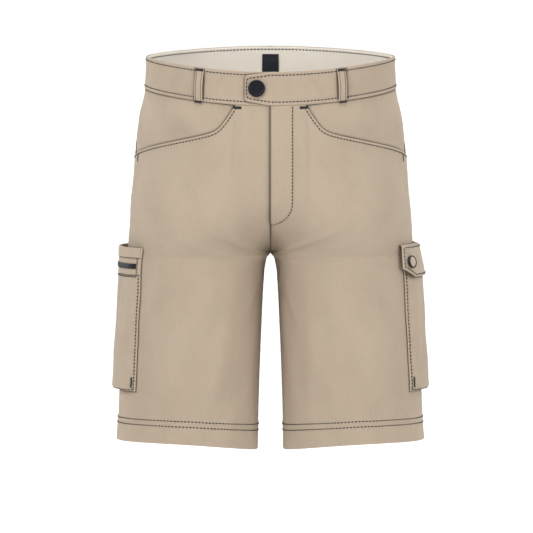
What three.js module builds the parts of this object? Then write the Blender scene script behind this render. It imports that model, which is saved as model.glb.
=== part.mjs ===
// Cargo shorts in plain twill, filled out as when worn, with hollow waist and legs.
// Millimetres. +Z is up, the front faces -Y and +X is the wearer's left. The origin is the
// middle of the waist at half the waistband's height, where the wearer holds the garment up.
import * as THREE from "three";

// Cloth and seams
const CLOTH = 1.2; // one thickness of twill with its seam allowance pressed flat
const BAND_CLOTH = 2.0; // waistband, two layers
const LINING_CLOTH = 1.1; // light facing inside the waistband
const SEAM = 0.3; // gap between pieces that are sewn together
const LAID_ON = 0.4; // gap under a piece that is sewn on a panel

// Waistband and fly
const BAND_TOP = 20.8; // level of the top edge, measured at the side seam
const BAND_BOTTOM = -21; // level of the waist seam
const BAND_PROUD = 0.8; // the waistband's face stands this far outside the panels
const TAB_LENGTH = 33; // button tab, past the centre front
const TAB_TAPER = 4.2; // each edge of the tab slants in by this much
const TAB_CORNER = 5;
const TAB_LIFT = BAND_PROUD + SEAM + CLOTH; // the tab lies over the other half of the band
const TAB_RAMP = 14; // the band climbs to the tab over this length

// Panels
const HEM_LEVEL = -477;
const HEM_DEPTH = 36;
const HEM_CLOTH = 2.4; // cloth turned up inside
const CROTCH_LEVEL = -238.5;

// Hand pockets: the mouth drops steeply from the waist seam, turns, then runs down to the side
const MOUTH_START = 48; // from the centre front, along the waist seam
const MOUTH_STEEP = 1.75;
const MOUTH_CORNER = { along: 68.4, z: -76 };
const MOUTH_SHALLOW = 0.18;
const MOUTH_ROUND = 9;
const MOUTH_LEVEL = -80; // row whose arc the mouth is measured along
const MOUTH_UNDERLAP = 14; // the facing runs this far under the front panel
const FACING_DROP = CLOTH + LAID_ON; // the facing lies behind the front panel

// Belt loops
const LOOP_WIDTH = 11;
const LOOP_CLOTH = 1.6;
const LOOP_BOW = 3; // room for a belt
const LOOP_BELOW_SEAM = 3;
const LOOPS = [
  { name: "belt_loop_front_right", side: -1, u: 0.208 },
  { name: "belt_loop_front_left", side: 1, u: 0.208 },
  { name: "belt_loop_back_right", side: -1, u: 0.72 },
  { name: "belt_loop_back_left", side: 1, u: 0.72 },
  { name: "belt_loop_centre_back", side: 1, u: 1 },
];

// Cargo pockets, centred on the side seams
const POCKET_CLOTH = 1.3;
const TOOL_POCKET = { side: -1, half: 84.5, foot: 74, top: -225.5, bottom: -411.5, depth: 8.6 };
const FLAP_POCKET = { side: 1, half: 74, foot: 64.5, top: -248, bottom: -411.5, depth: 8.6 };
const POCKET_EDGE_ROUND = 18; // the pocket swells to its full depth over this width
const POCKET_FOOT_ROUND = 4;
const POCKET_HEM = 13.6; // turned mouth of the tool pocket
const POCKET_BAND = 21.5; // reinforcing band below the mouth
const STRAP_WIDTH = 6.5; // webbing across the band
const STRAP_CLOTH = 1.2;
const STRAP_SHARE = 0.93; // of the pocket's width
const HEM_SHARE = 0.955;
const FLAP = { half: 83, foot: 87, top: -221, bottom: -263.5, shoulder: 4, chamfer: 21, rise: 11 };
const FLAP_CLOTH = 1.6;
const FLAP_STAND = { top: 6.6, bottom: 12.2 }; // its inside stands this far off the leg
const FLAP_SPREAD = 16; // the flap is still this far from lying flat at its ends
const FLAP_BUTTON_IN = 15.5; // from the flap's end
const FLAP_BUTTON_UP = 19; // above the flap's lower edge

// Buttons and label
const WAIST_BUTTON = { radius: 11, thick: 3.4, along: -17.7 };
const FLAP_BUTTON = { radius: 8.4, thick: 3.8 };
const LABEL = { width: 22, from: 10.4, length: 28, thick: 0.8 };

// Sections of the cloth from waist to hem. side, fore and aft are the heights of one row at the
// side seam, the centre front and the centre back (below the crotch, at the inseam). wide is half
// the whole width, front and back are depths, leg goes from 0 for the hips to 1 for a leg of its
// own, inner is the inseam's distance from the middle, fork how far back it lies, dip how quickly
// the row leaves the side's height, and square how full its corners are.
const COLUMNS = ["side", "fore", "aft", "wide", "front", "back", "leg", "inner", "fork", "dip", "square"];
const SECTIONS = [
  [20.8, 1.0, 32.8, 160.4, 116, 118, 0.0, 0.15, 0, 1.4, 2.12],
  [-21, -42.3, -9.0, 162.6, 120, 122, 0.0, 0.15, 0, 1.4, 2.15],
  [-60, -80.5, -50, 170.6, 124, 128, 0.0, 0.15, 0, 1.4, 2.2],
  [-100, -118.5, -92, 175.1, 126, 134, 0.0, 0.15, 0, 1.5, 2.2],
  [-140, -156.5, -135, 178.6, 126, 137, 0.05, 0.15, 4, 1.6, 2.2],
  [-175, -189, -173.5, 181.4, 124.5, 136, 0.2, 0.15, 8, 1.8, 2.2],
  [-205, -215, -206, 183.5, 121.5, 132, 0.47, 0.15, 10, 2.0, 2.2],
  [-226, -230, -227, 184.9, 118.5, 128, 0.78, 0.15, 12, 2.0, 2.2],
  [-238.5, -236.6, -236.6, 185.7, 117, 125.5, 1.0, 0.15, 12, 2.0, 2.2],
  [-244, -243, -243, 186.1, 116, 124.5, 1.0, 5.2, 12, 2.0, 2.2],
  [-262, -262, -262, 187.2, 114, 121.5, 1.0, 8.3, 11, 2.0, 2.2],
  [-330, -332, -332, 191.4, 106, 112, 1.0, 12.0, 8, 2.5, 2.2],
  [-405, -411, -411, 195.8, 98, 102, 1.0, 15.0, 5, 4.0, 2.2],
  [-477, -490.5, -490.5, 199.4, 91, 95, 1.0, 17.0, 3, 5.0, 2.2],
];

// Soft folds, measured where each is deepest. side is the leg, u the place round it, level the
// height, long and wide the size, lean the turn from upright in degrees, lift the height.
const FOLD_COLUMNS = ["side", "u", "level", "long", "wide", "lean", "lift"];
const FOLDS = [
  [1, 0.07, -262, 62, 13, 52, 1.7],
  [-1, 0.075, -258, 66, 12, 48, 1.8],
  [1, 0.22, -420, 110, 26, 6, 1.6],
  [-1, 0.2, -405, 120, 28, -5, 1.7],
  [1, 0.34, -300, 120, 24, 12, -1.4],
  [-1, 0.33, -315, 110, 25, 10, -1.5],
  [1, 0.9, -258, 90, 17, -58, -2.2],
  [-1, 0.89, -262, 84, 18, -55, -2.4],
  [1, 0.8, -380, 130, 30, -6, 2.0],
  [-1, 0.78, -395, 120, 28, 5, 1.9],
];

const lerp = THREE.MathUtils.lerp;

// A smooth curve through a column of a table that never passes its own points.
function curveThrough(keys, values) {
  const last = keys.length - 1;
  const slope = keys.slice(1).map((k, i) => (values[i + 1] - values[i]) / (k - keys[i]));
  const tangent = keys.map((_, i) => {
    if (i === 0) return slope[0];
    if (i === last) return slope[last - 1];
    const [before, after] = [slope[i - 1], slope[i]];
    return before * after <= 0 ? 0 : (2 * before * after) / (before + after);
  });
  return (key) => {
    const k = Math.min(Math.max(key, keys[0]), keys[last]);
    let i = 0;
    while (i < last - 1 && k > keys[i + 1]) i += 1;
    const span = keys[i + 1] - keys[i];
    const t = (k - keys[i]) / span;
    const [t2, t3] = [t * t, t * t * t];
    return (
      (2 * t3 - 3 * t2 + 1) * values[i] +
      (t3 - 2 * t2 + t) * span * tangent[i] +
      (3 * t2 - 2 * t3) * values[i + 1] +
      (t3 - t2) * span * tangent[i + 1]
    );
  };
}

const drops = SECTIONS.map((row) => -row[0]);
const sectionCurve = Object.fromEntries(
  COLUMNS.map((name, c) => [name, curveThrough(drops, SECTIONS.map((row) => row[c]))]),
);
const sectionAt = (level) =>
  Object.fromEntries(COLUMNS.map((name) => [name, sectionCurve[name](-level)]));

// The same line with its points at equal distances.
const HALF_STEPS = 72;
function evenly(line) {
  const run = [0];
  for (let i = 1; i < line.length; i += 1)
    run.push(run[i - 1] + Math.hypot(line[i][0] - line[i - 1][0], line[i][1] - line[i - 1][1]));
  const total = run[run.length - 1];
  const points = [];
  let i = 1;
  for (let k = 0; k <= HALF_STEPS; k += 1) {
    const goal = (total * k) / HALF_STEPS;
    while (i < line.length - 1 && run[i] < goal) i += 1;
    const t = (goal - run[i - 1]) / (run[i] - run[i - 1] || 1);
    points.push([0, 1].map((a) => line[i - 1][a] + (line[i][a] - line[i - 1][a]) * t));
  }
  return { points, total };
}

// Half of one row, from the centre or inseam to the side seam, as the cloth lies in plan.
const bulge = (value, power) => Math.sign(value) * Math.abs(value) ** power;
function halfRow(section, depth) {
  const power = 2 / section.square;
  const middle = (section.wide + section.inner) / 2;
  const reach = (section.wide - section.inner) / 2;
  const hips = [];
  const leg = [];
  for (let k = 0; k <= HALF_STEPS; k += 1) {
    const hipTurn = (Math.PI / 2) * (k / HALF_STEPS);
    const legTurn = Math.PI * (k / HALF_STEPS);
    hips.push([
      section.inner + (section.wide - section.inner) * bulge(Math.sin(hipTurn), power),
      depth * bulge(Math.cos(hipTurn), power),
    ]);
    const out = bulge(Math.sin(legTurn), power);
    const forkThere = (section.fork * (1 + Math.cos(legTurn))) / 2;
    leg.push([middle - reach * bulge(Math.cos(legTurn), power), lerp(forkThere, depth, out)]);
  }
  const [evenHips, evenLeg] = [evenly(hips).points, evenly(leg).points];
  const mixed = evenHips.map((p, k) => p.map((v, a) => v + (evenLeg[k][a] - v) * section.leg));
  const full = Math.abs(depth) / Math.max(...mixed.map((p) => Math.abs(p[1])));
  return evenly(mixed.map((p) => [p[0], p[1] * full]));
}

const rows = new Map();
function rowAt(level) {
  const key = level.toFixed(4);
  if (!rows.has(key)) {
    const section = sectionAt(level);
    rows.set(key, {
      section,
      fore: halfRow(section, -section.front),
      aft: halfRow(section, section.back),
    });
  }
  return rows.get(key);
}

// A point of the plain cloth. u is 0 at the centre front or inseam, 0.5 at the side seam and 1 at
// the centre back or inseam. Past its ends it goes on over the other half of the garment, or
// below the crotch round the same leg.
function place(side, u, level) {
  let [s, v] = [side, u];
  if (level > CROTCH_LEVEL) {
    const turn = ((u % 2) + 2) % 2;
    if (turn > 1) [s, v] = [-side, 2 - turn];
    else v = turn;
  } else if (u < 0 || u > 1) v = ((u % 1) + 1) % 1;
  const { section, fore, aft } = rowAt(level);
  const line = v < 0.5 ? fore : aft;
  const at = (1 - Math.abs(1 - 2 * v)) * HALF_STEPS;
  const k = Math.min(Math.floor(at), HALF_STEPS - 1);
  const [a, b] = [line.points[k], line.points[k + 1]];
  const end = v < 0.5 ? section.fore : section.aft;
  return new THREE.Vector3(
    s * (a[0] + (b[0] - a[0]) * (at - k)),
    a[1] + (b[1] - a[1]) * (at - k),
    level + (end - level) * Math.abs(Math.cos(Math.PI * v)) ** section.dip,
  );
}

const TURN_U = 0.012;
const TURN_LEVEL = 2;
function outward(side, u, level) {
  const top = Math.min(level + TURN_LEVEL, BAND_TOP);
  const foot = Math.max(level - TURN_LEVEL, HEM_LEVEL);
  const round = place(side, u + TURN_U, level).sub(place(side, u - TURN_U, level));
  const down = place(side, u, foot).sub(place(side, u, top));
  return down.cross(round).multiplyScalar(side).normalize();
}

// How far the soft folds lift the cloth at a place.
function foldLift(side, u, level) {
  let lift = 0;
  for (const row of FOLDS) {
    const fold = Object.fromEntries(FOLD_COLUMNS.map((name, c) => [name, row[c]]));
    if (fold.side !== side) continue;
    const across = (u - fold.u) * 2 * rowAt(level).fore.total;
    const up = level - fold.level;
    const lean = THREE.MathUtils.degToRad(fold.lean);
    const along = up * Math.cos(lean) + across * Math.sin(lean);
    const beside = across * Math.cos(lean) - up * Math.sin(lean);
    lift += fold.lift * Math.exp(-((along / (fold.long / 2)) ** 2) - (beside / (fold.wide / 2)) ** 2);
  }
  return lift;
}

// The cloth's place, moved out from the panels' face.
const cloth = (side, u, level, out = 0) =>
  place(side, u, level).addScaledVector(outward(side, u, level), out + foldLift(side, u, level));

const halfArc = (level, front = true) => (front ? rowAt(level).fore : rowAt(level).aft).total;
// u at a distance along the row from the side seam, negative towards the front.
const uFromSide = (along, level) => 0.5 + (0.5 * along) / halfArc(level, along < 0);

// The level of the row that passes through a height at a place round the garment.
function levelAt(u, z) {
  let [high, low] = [BAND_TOP, HEM_LEVEL];
  for (let i = 0; i < 40; i += 1) {
    const middle = (high + low) / 2;
    if (place(1, u, middle).z > z) high = middle;
    else low = middle;
  }
  return (high + low) / 2;
}

// Meshes. A wall is a grid of outer points and a grid of inner ones, closed round the rim.
const materials = {
  twill: new THREE.MeshStandardMaterial({ color: 0xbfae9a, roughness: 0.9 }),
  facing: new THREE.MeshStandardMaterial({ color: 0xdbd2c3, roughness: 0.9 }),
  label: new THREE.MeshStandardMaterial({ color: 0x272a33, roughness: 0.7 }),
  webbing: new THREE.MeshStandardMaterial({ color: 0x1d1f26, roughness: 0.8 }),
  button: new THREE.MeshStandardMaterial({ color: 0x272a33, roughness: 0.4 }),
  snap: new THREE.MeshStandardMaterial({ color: 0xb09f8b, roughness: 0.45 }),
};

const shorts = new THREE.Group();
shorts.name = "cargo_shorts";

function addMesh(name, geometry, material) {
  geometry.computeVertexNormals();
  const mesh = new THREE.Mesh(geometry, materials[material]);
  mesh.name = name;
  shorts.add(mesh);
  return mesh;
}

function wall(outer, inner) {
  const [across, down] = [outer.length, outer[0].length];
  const positions = [outer, inner].flat(2).flatMap((p) => p.toArray());
  const outerAt = (i, j) => i * down + j;
  const innerAt = (i, j) => across * down + i * down + j;
  const endOuter = (j) => outerAt(across - 1, j);
  const endInner = (j) => innerAt(across - 1, j);
  const index = [];
  const quad = (a, b, c, d) => index.push(a, b, c, a, c, d);
  for (let i = 0; i + 1 < across; i += 1)
    for (let j = 0; j + 1 < down; j += 1) {
      quad(outerAt(i, j), outerAt(i, j + 1), outerAt(i + 1, j + 1), outerAt(i + 1, j));
      quad(innerAt(i, j), innerAt(i + 1, j), innerAt(i + 1, j + 1), innerAt(i, j + 1));
    }
  for (let i = 0; i + 1 < across; i += 1) {
    quad(outerAt(i, 0), outerAt(i + 1, 0), innerAt(i + 1, 0), innerAt(i, 0));
    quad(outerAt(i + 1, down - 1), outerAt(i, down - 1), innerAt(i, down - 1), innerAt(i + 1, down - 1));
  }
  for (let j = 0; j + 1 < down; j += 1) {
    quad(outerAt(0, j + 1), outerAt(0, j), innerAt(0, j), innerAt(0, j + 1));
    quad(endOuter(j), endOuter(j + 1), endInner(j + 1), endInner(j));
  }
  const geometry = new THREE.BufferGeometry();
  geometry.setAttribute("position", new THREE.Float32BufferAttribute(positions, 3));
  geometry.setIndex(index);
  return facingOut(geometry);
}

// Turns a closed mesh's faces round if they point inwards.
function facingOut(geometry) {
  const position = geometry.getAttribute("position");
  const index = geometry.getIndex().array;
  const corner = (i) => new THREE.Vector3().fromBufferAttribute(position, index[i]);
  let volume = 0;
  for (let i = 0; i < index.length; i += 3) volume += corner(i).dot(corner(i + 1).cross(corner(i + 2)));
  if (volume < 0)
    for (let i = 0; i < index.length; i += 3) [index[i + 1], index[i + 2]] = [index[i + 2], index[i + 1]];
  return geometry;
}

// A layer of cloth between two distances from the panels' face. at(i, j) gives side, u and level.
function layer(across, down, at, outside, inside) {
  const grid = (distance) =>
    Array.from({ length: across + 1 }, (_, i) =>
      Array.from({ length: down + 1 }, (_, j) => {
        const p = at(i, j);
        return cloth(p.side, p.u, p.level, distance(p));
      }),
    );
  return wall(grid(outside), grid(inside));
}

// A wall of even thickness inside a grid of points, for pieces that stand off the panels.
function shell(outer, thickness, side) {
  const [across, down] = [outer.length, outer[0].length];
  const clamp = (value, top) => Math.min(Math.max(value, 0), top);
  const inner = outer.map((column, i) =>
    column.map((p, j) => {
      const round = outer[clamp(i + 1, across - 1)][j].clone().sub(outer[clamp(i - 1, across - 1)][j]);
      const drop = outer[i][clamp(j + 1, down - 1)].clone().sub(outer[i][clamp(j - 1, down - 1)]);
      return p.clone().addScaledVector(drop.cross(round).normalize(), -side * thickness);
    }),
  );
  return wall(outer, inner);
}

const evenSteps = (from, to, count) => Array.from({ length: count + 1 }, (_, i) => lerp(from, to, i / count));

// Trouser panels
const PANEL_ROWS = [
  -21, -44, -72, -100, -128, -154, -178, -198, -214, -226, -234, -238.5, -244, -253, -270, -300, -335, -372,
  -408, -441, -459, HEM_LEVEL,
];
const FRONT_INNER_COLUMNS = 4;
const FRONT_OUTER_COLUMNS = 15;
const CROWD = 1.25; // columns stand closer where the pocket mouth is steep
const BACK_COLUMNS = 18;
const SQUEEZED_TO = -178; // above this row the front's rows make room for the pocket mouth
const HALF_SEAM = SEAM / 2;
const panelTop = BAND_BOTTOM - HALF_SEAM;

const alongFront = (u) => 2 * u * halfArc(MOUTH_LEVEL);
const mouthStartU = MOUTH_START / (2 * halfArc(MOUTH_LEVEL));
// Height of the pocket mouth: the higher of two lines, with a round corner between them.
function mouthZ(u) {
  const past = alongFront(u) - MOUTH_CORNER.along;
  const steep = MOUTH_CORNER.z - MOUTH_STEEP * past;
  const shallow = MOUTH_CORNER.z - MOUTH_SHALLOW * past;
  return (steep + shallow + Math.hypot(steep - shallow, MOUTH_ROUND)) / 2;
}
const frontTop = (u) => (u <= mouthStartU ? panelTop : Math.min(panelTop, levelAt(u, mouthZ(u))));

const gapU = (level, front) => (0.5 * HALF_SEAM) / halfArc(level, front);
const wallInside = (p) => (p.level < HEM_LEVEL + HEM_DEPTH ? -HEM_CLOTH : -CLOTH);

function frontPanel(name, side) {
  const columns = [
    ...evenSteps(0, mouthStartU, FRONT_INNER_COLUMNS),
    ...evenSteps(0, 1, FRONT_OUTER_COLUMNS)
      .slice(1)
      .map((t) => lerp(mouthStartU, 0.5, t ** CROWD)),
  ];
  const at = (i, j) => {
    const row = Math.min(PANEL_ROWS[j], panelTop);
    const top = frontTop(columns[i]);
    const squeeze = (row - SQUEEZED_TO) / (panelTop - SQUEEZED_TO);
    const level = row > SQUEEZED_TO ? lerp(SQUEEZED_TO, top, squeeze) : row;
    const gap = gapU(level, true);
    return { side, level, u: Math.min(Math.max(columns[i], gap), 0.5 - gap) };
  };
  addMesh(name, layer(columns.length - 1, PANEL_ROWS.length - 1, at, () => 0, wallInside), "twill");
}

function backPanel(name, side) {
  const at = (i, j) => {
    const level = Math.min(PANEL_ROWS[j], panelTop);
    const gap = gapU(level, false);
    return { side, level, u: Math.min(Math.max(lerp(0.5, 1, i / BACK_COLUMNS), 0.5 + gap), 1 - gap) };
  };
  addMesh(name, layer(BACK_COLUMNS, PANEL_ROWS.length - 1, at, () => 0, wallInside), "twill");
}

// Side piece that shows above the pocket mouth and runs on behind the front panel
const FACING_COLUMNS = 13;
const FACING_ROWS = 5;
const FACING_LEAD = 9; // starts this far before the mouth
function pocketFacing(name, side) {
  const from = mouthStartU - FACING_LEAD / (2 * halfArc(MOUTH_LEVEL));
  const at = (i, j) => {
    const column = lerp(from, 0.5, (i / FACING_COLUMNS) ** CROWD);
    const seamZ = place(1, column, panelTop).z;
    const foot = levelAt(column, Math.min(mouthZ(column), seamZ) - MOUTH_UNDERLAP);
    const level = lerp(panelTop, foot, j / FACING_ROWS);
    return { side, level, u: Math.min(column, 0.5 - gapU(level, true)) };
  };
  const inside = () => -FACING_DROP - CLOTH;
  addMesh(name, layer(FACING_COLUMNS, FACING_ROWS, at, () => -FACING_DROP, inside), "twill");
}

// Waistband
const BAND_COLUMNS = 30;
const BAND_ROWS = 2;
const bandFoot = BAND_BOTTOM + HALF_SEAM;
const bandInside = BAND_PROUD - BAND_CLOTH;

// Places from the centre front to the centre back, closer where the tab's half ramps up.
function bandColumns() {
  const gap = gapU(0, true);
  const ramp = evenSteps(gap, (0.5 * TAB_RAMP) / halfArc(0), 4);
  return [...ramp, ...evenSteps(ramp[ramp.length - 1], 1 - gap, BAND_COLUMNS).slice(1)];
}

function waistbandRight() {
  const columns = bandColumns();
  const at = (i, j) => ({ side: -1, u: columns[i], level: lerp(BAND_TOP, bandFoot, j / BAND_ROWS) });
  const grid = layer(columns.length - 1, BAND_ROWS, at, () => BAND_PROUD, () => bandInside);
  addMesh("waistband_right", grid, "twill");
}

// The left half runs on past the centre front as the button tab.
function waistbandLeft() {
  const arc = halfArc(0);
  const tabSteps = [0, 0.12, 0.45, 1, 2.2, TAB_CORNER, 11, 18, 26, TAB_LENGTH];
  const tab = tabSteps.map((step) => (-0.5 * (TAB_LENGTH - step)) / arc);
  const columns = [...tab.slice(0, -1), ...bandColumns()];
  const edge = (u) => {
    const past = Math.max(0, (-u * arc) / 0.5);
    const left = TAB_LENGTH - past;
    const slant = TAB_TAPER * Math.min(1, past / (TAB_LENGTH - TAB_CORNER));
    const into = Math.max(0, TAB_CORNER - left);
    return slant + TAB_CORNER - Math.sqrt(Math.max(0, TAB_CORNER ** 2 - into ** 2));
  };
  const lift = (p) => {
    const past = (p.u * arc) / 0.5;
    return past <= 0 ? TAB_LIFT : TAB_LIFT * (1 - THREE.MathUtils.smoothstep(past, 0, TAB_RAMP));
  };
  const at = (i, j) => ({
    side: 1,
    u: columns[i],
    level: lerp(BAND_TOP - edge(columns[i]), bandFoot + edge(columns[i]), j / BAND_ROWS),
  });
  const outside = (p) => BAND_PROUD + lift(p);
  const inside = (p) => bandInside + lift(p);
  addMesh("waistband_left", layer(columns.length - 1, BAND_ROWS, at, outside, inside), "twill");
}

// Light facing all round the inside of the band, from one front edge to the other
const liningOutside = bandInside - SEAM;
const LINING_BELOW_TOP = 0.8;
function waistbandFacing() {
  const half = bandColumns();
  const columns = [...half, ...half.map((u) => 2 - u).reverse()];
  const at = (i, j) => ({
    side: -1,
    u: columns[i],
    level: lerp(BAND_TOP - LINING_BELOW_TOP, bandFoot, j / BAND_ROWS),
  });
  const inside = () => liningOutside - LINING_CLOTH;
  const grid = layer(columns.length - 1, BAND_ROWS, at, () => liningOutside, inside);
  addMesh("waistband_facing", grid, "facing");
}

function neckLabel() {
  const halfU = (0.25 * LABEL.width) / halfArc(0, false);
  const top = BAND_TOP - LABEL.from;
  const at = (i, j) => ({
    side: 1,
    u: 1 + halfU * (i - 1),
    level: lerp(top, top - LABEL.length, j / 2),
  });
  const outside = liningOutside - LINING_CLOTH - SEAM;
  addMesh("waist_label", layer(2, 2, at, () => outside, () => outside - LABEL.thick), "label");
}

// Belt loops: a strap sewn down at both ends, bowed out between them
const LOOP_STEPS = [0, 0.06, 0.12, 0.22, 0.36, 0.5, 0.64, 0.78, 0.87, 0.93, 1];
const LOOP_SEWN = 0.1;
function beltLoop({ name, side, u }) {
  const halfU = (0.25 * LOOP_WIDTH) / halfArc(0, u < 0.5);
  const top = BAND_TOP - 1;
  const foot = BAND_BOTTOM - LOOP_BELOW_SEAM;
  const outer = evenSteps(-1, 1, 2).map((across) =>
    LOOP_STEPS.map((t) => {
      const free = Math.min(1, Math.max(0, (t - LOOP_SEWN) / (1 - 2 * LOOP_SEWN)));
      const bow = LOOP_BOW * Math.sqrt(Math.sin(Math.PI * free));
      return cloth(side, u + across * halfU, lerp(top, foot, t), BAND_PROUD + LAID_ON + LOOP_CLOTH + bow);
    }),
  );
  addMesh(name, shell(outer, LOOP_CLOTH, side), "twill");
}

// Cargo pockets
const swell = (distance, over) => 1 - (1 - Math.min(1, Math.max(0, distance / over))) ** 2;
const pocketHalf = ({ half, foot, top, bottom }, level) => lerp(half, foot, (top - level) / (top - bottom));
// How far the inside of a pocket stands off the leg at a place on it.
const pocketStand = (pocket, along, level) =>
  LAID_ON +
  pocket.depth *
    swell(pocketHalf(pocket, level) - Math.abs(along), POCKET_EDGE_ROUND) *
    swell(level - pocket.bottom, POCKET_FOOT_ROUND);

const POCKET_ACROSS = [-1, -HEM_SHARE, -0.9, -0.83, -0.74, -0.6, -0.42, -0.2, 0];
const pocketColumns = [...POCKET_ACROSS, ...POCKET_ACROSS.slice(0, -1).reverse().map((t) => -t)];
const POUCH_ROWS = 8;
const FOOT_ROWS = [0.78, 0.52, 0.26, 0.1, 0];

function pouch(name, pocket) {
  const levels = [
    ...evenSteps(pocket.top, pocket.bottom + POCKET_FOOT_ROUND, POUCH_ROWS),
    ...FOOT_ROWS.map((t) => pocket.bottom + t * POCKET_FOOT_ROUND),
  ];
  const outer = pocketColumns.map((t) =>
    levels.map((level) => {
      const along = t * pocketHalf(pocket, level);
      const out = pocketStand(pocket, along, level) + POCKET_CLOTH;
      return cloth(pocket.side, uFromSide(along, level), level, out);
    }),
  );
  addMesh(name, shell(outer, POCKET_CLOTH, pocket.side), "twill");
}

// A band that lies on a pocket's face between two levels, over a share of the pocket's width
const bandOut = POCKET_CLOTH + SEAM;
function pocketBand(name, pocket, { top, bottom, share, thick, material }) {
  const inner = pocketColumns.filter((t) => Math.abs(t) < share - 0.01);
  const outer = [-share, ...inner, share].map((t) =>
    [top, bottom].map((level) => {
      const along = t * pocketHalf(pocket, level);
      const out = pocketStand(pocket, along, level) + bandOut + thick;
      return cloth(pocket.side, uFromSide(along, level), level, out);
    }),
  );
  addMesh(name, shell(outer, thick, pocket.side), material);
}

function toolPocket() {
  pouch("tool_pocket", TOOL_POCKET);
  const bandTop = TOOL_POCKET.top - POCKET_HEM;
  pocketBand("tool_pocket_hem", TOOL_POCKET, {
    top: TOOL_POCKET.top - SEAM,
    bottom: bandTop,
    share: HEM_SHARE,
    thick: CLOTH,
    material: "twill",
  });
  const strapTop = bandTop - (POCKET_BAND - STRAP_WIDTH) / 2;
  pocketBand("tool_pocket_strap", TOOL_POCKET, {
    top: strapTop,
    bottom: strapTop - STRAP_WIDTH,
    share: STRAP_SHARE,
    thick: STRAP_CLOTH,
    material: "webbing",
  });
}

// How far the inside of the flap stands off the leg
function flapStand(along, level) {
  const reach = FLAP.half + FLAP_SPREAD - Math.abs(along);
  const drop = (FLAP.top - level) / (FLAP.top - FLAP.bottom);
  const over = lerp(FLAP_STAND.top, FLAP_STAND.bottom, drop) * swell(reach, POCKET_EDGE_ROUND + FLAP_SPREAD);
  return LAID_ON + over * swell(FLAP.top - level, FLAP.shoulder);
}

const FLAP_STEPS = [0, 0.4, 1.2, 2.4, FLAP.shoulder, 11, 18, 26, 30.5];
// Level of the flap's lower edge, which rises towards both ends.
function flapFoot(t) {
  const fromEnd = FLAP.foot * (1 - Math.abs(t));
  return FLAP.bottom + FLAP.rise * Math.max(0, 1 - fromEnd / FLAP.chamfer);
}

function flap() {
  const outer = pocketColumns.map((t) => {
    const bottom = flapFoot(t);
    const levels = [...FLAP_STEPS.map((step) => FLAP.top - step), bottom];
    return levels.map((level) => {
      const drop = (FLAP.top - level) / (FLAP.top - FLAP.bottom);
      const along = t * lerp(FLAP.half, FLAP.foot, drop);
      const out = flapStand(along, level) + FLAP_CLOTH;
      return cloth(FLAP_POCKET.side, uFromSide(along, level), level, out);
    });
  });
  addMesh("flap_pocket_flap", shell(outer, FLAP_CLOTH, FLAP_POCKET.side), "twill");
}

// Buttons, turned to stand on the cloth at a place
function standOn(mesh, point, normal) {
  mesh.position.copy(point);
  mesh.quaternion.setFromUnitVectors(new THREE.Vector3(0, 0, 1), normal);
}

const ROUND_STEPS = 28;
// A round button from its section, as pairs of shares of the radius and of the thickness.
function turned(name, { radius, thick }, section, material) {
  const profile = section.map(([out, up]) => new THREE.Vector2(out * radius, up * thick));
  return addMesh(name, new THREE.LatheGeometry(profile, ROUND_STEPS).rotateX(Math.PI / 2), material);
}

// A plain button with a raised rim round a shallow dish
const WAIST_BUTTON_SECTION = [
  [0, 0],
  [0.9, 0],
  [1, 0.35],
  [0.975, 0.75],
  [0.9, 1],
  [0.8, 0.92],
  [0.62, 0.78],
  [0, 0.72],
];
function waistButton() {
  const mesh = turned("waist_button", WAIST_BUTTON, WAIST_BUTTON_SECTION, "button");
  const u = (0.5 * WAIST_BUTTON.along) / halfArc(0);
  const out = BAND_PROUD + TAB_LIFT + SEAM;
  standOn(mesh, cloth(1, u, 0, out), outward(1, u, 0));
}

// A snap cap with a groove inside its rim
const FLAP_BUTTON_SECTION = [
  [0, 0],
  [0.9, 0],
  [1, 0.3],
  [0.96, 0.62],
  [0.8, 0.82],
  [0.62, 0.74],
  [0.3, 0.95],
  [0, 1],
];
function flapButton(name, end) {
  const { radius } = FLAP_BUTTON;
  const mesh = turned(name, FLAP_BUTTON, FLAP_BUTTON_SECTION, "snap");
  const level = FLAP.bottom + FLAP_BUTTON_UP;
  const along = end * (FLAP.foot - FLAP_BUTTON_IN);
  const { side } = FLAP_POCKET;
  const face = (a, l) => cloth(side, uFromSide(a, l), l, flapStand(a, l) + FLAP_CLOTH);
  const round = face(along + radius, level).sub(face(along - radius, level));
  const down = face(along, level - radius).sub(face(along, level + radius));
  const normal = down.cross(round).multiplyScalar(side).normalize();
  standOn(mesh, face(along, level).addScaledVector(normal, 2 * SEAM), normal);
}

frontPanel("front_panel_right", -1);
frontPanel("front_panel_left", 1);
backPanel("back_panel_right", -1);
backPanel("back_panel_left", 1);
pocketFacing("hand_pocket_facing_right", -1);
pocketFacing("hand_pocket_facing_left", 1);
waistbandRight();
waistbandLeft();
waistbandFacing();
neckLabel();
LOOPS.forEach(beltLoop);
toolPocket();
pouch("flap_pocket", FLAP_POCKET);
flap();
waistButton();
flapButton("flap_button_front", -1);
flapButton("flap_button_back", 1);

export default shorts;
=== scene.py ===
import math

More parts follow.
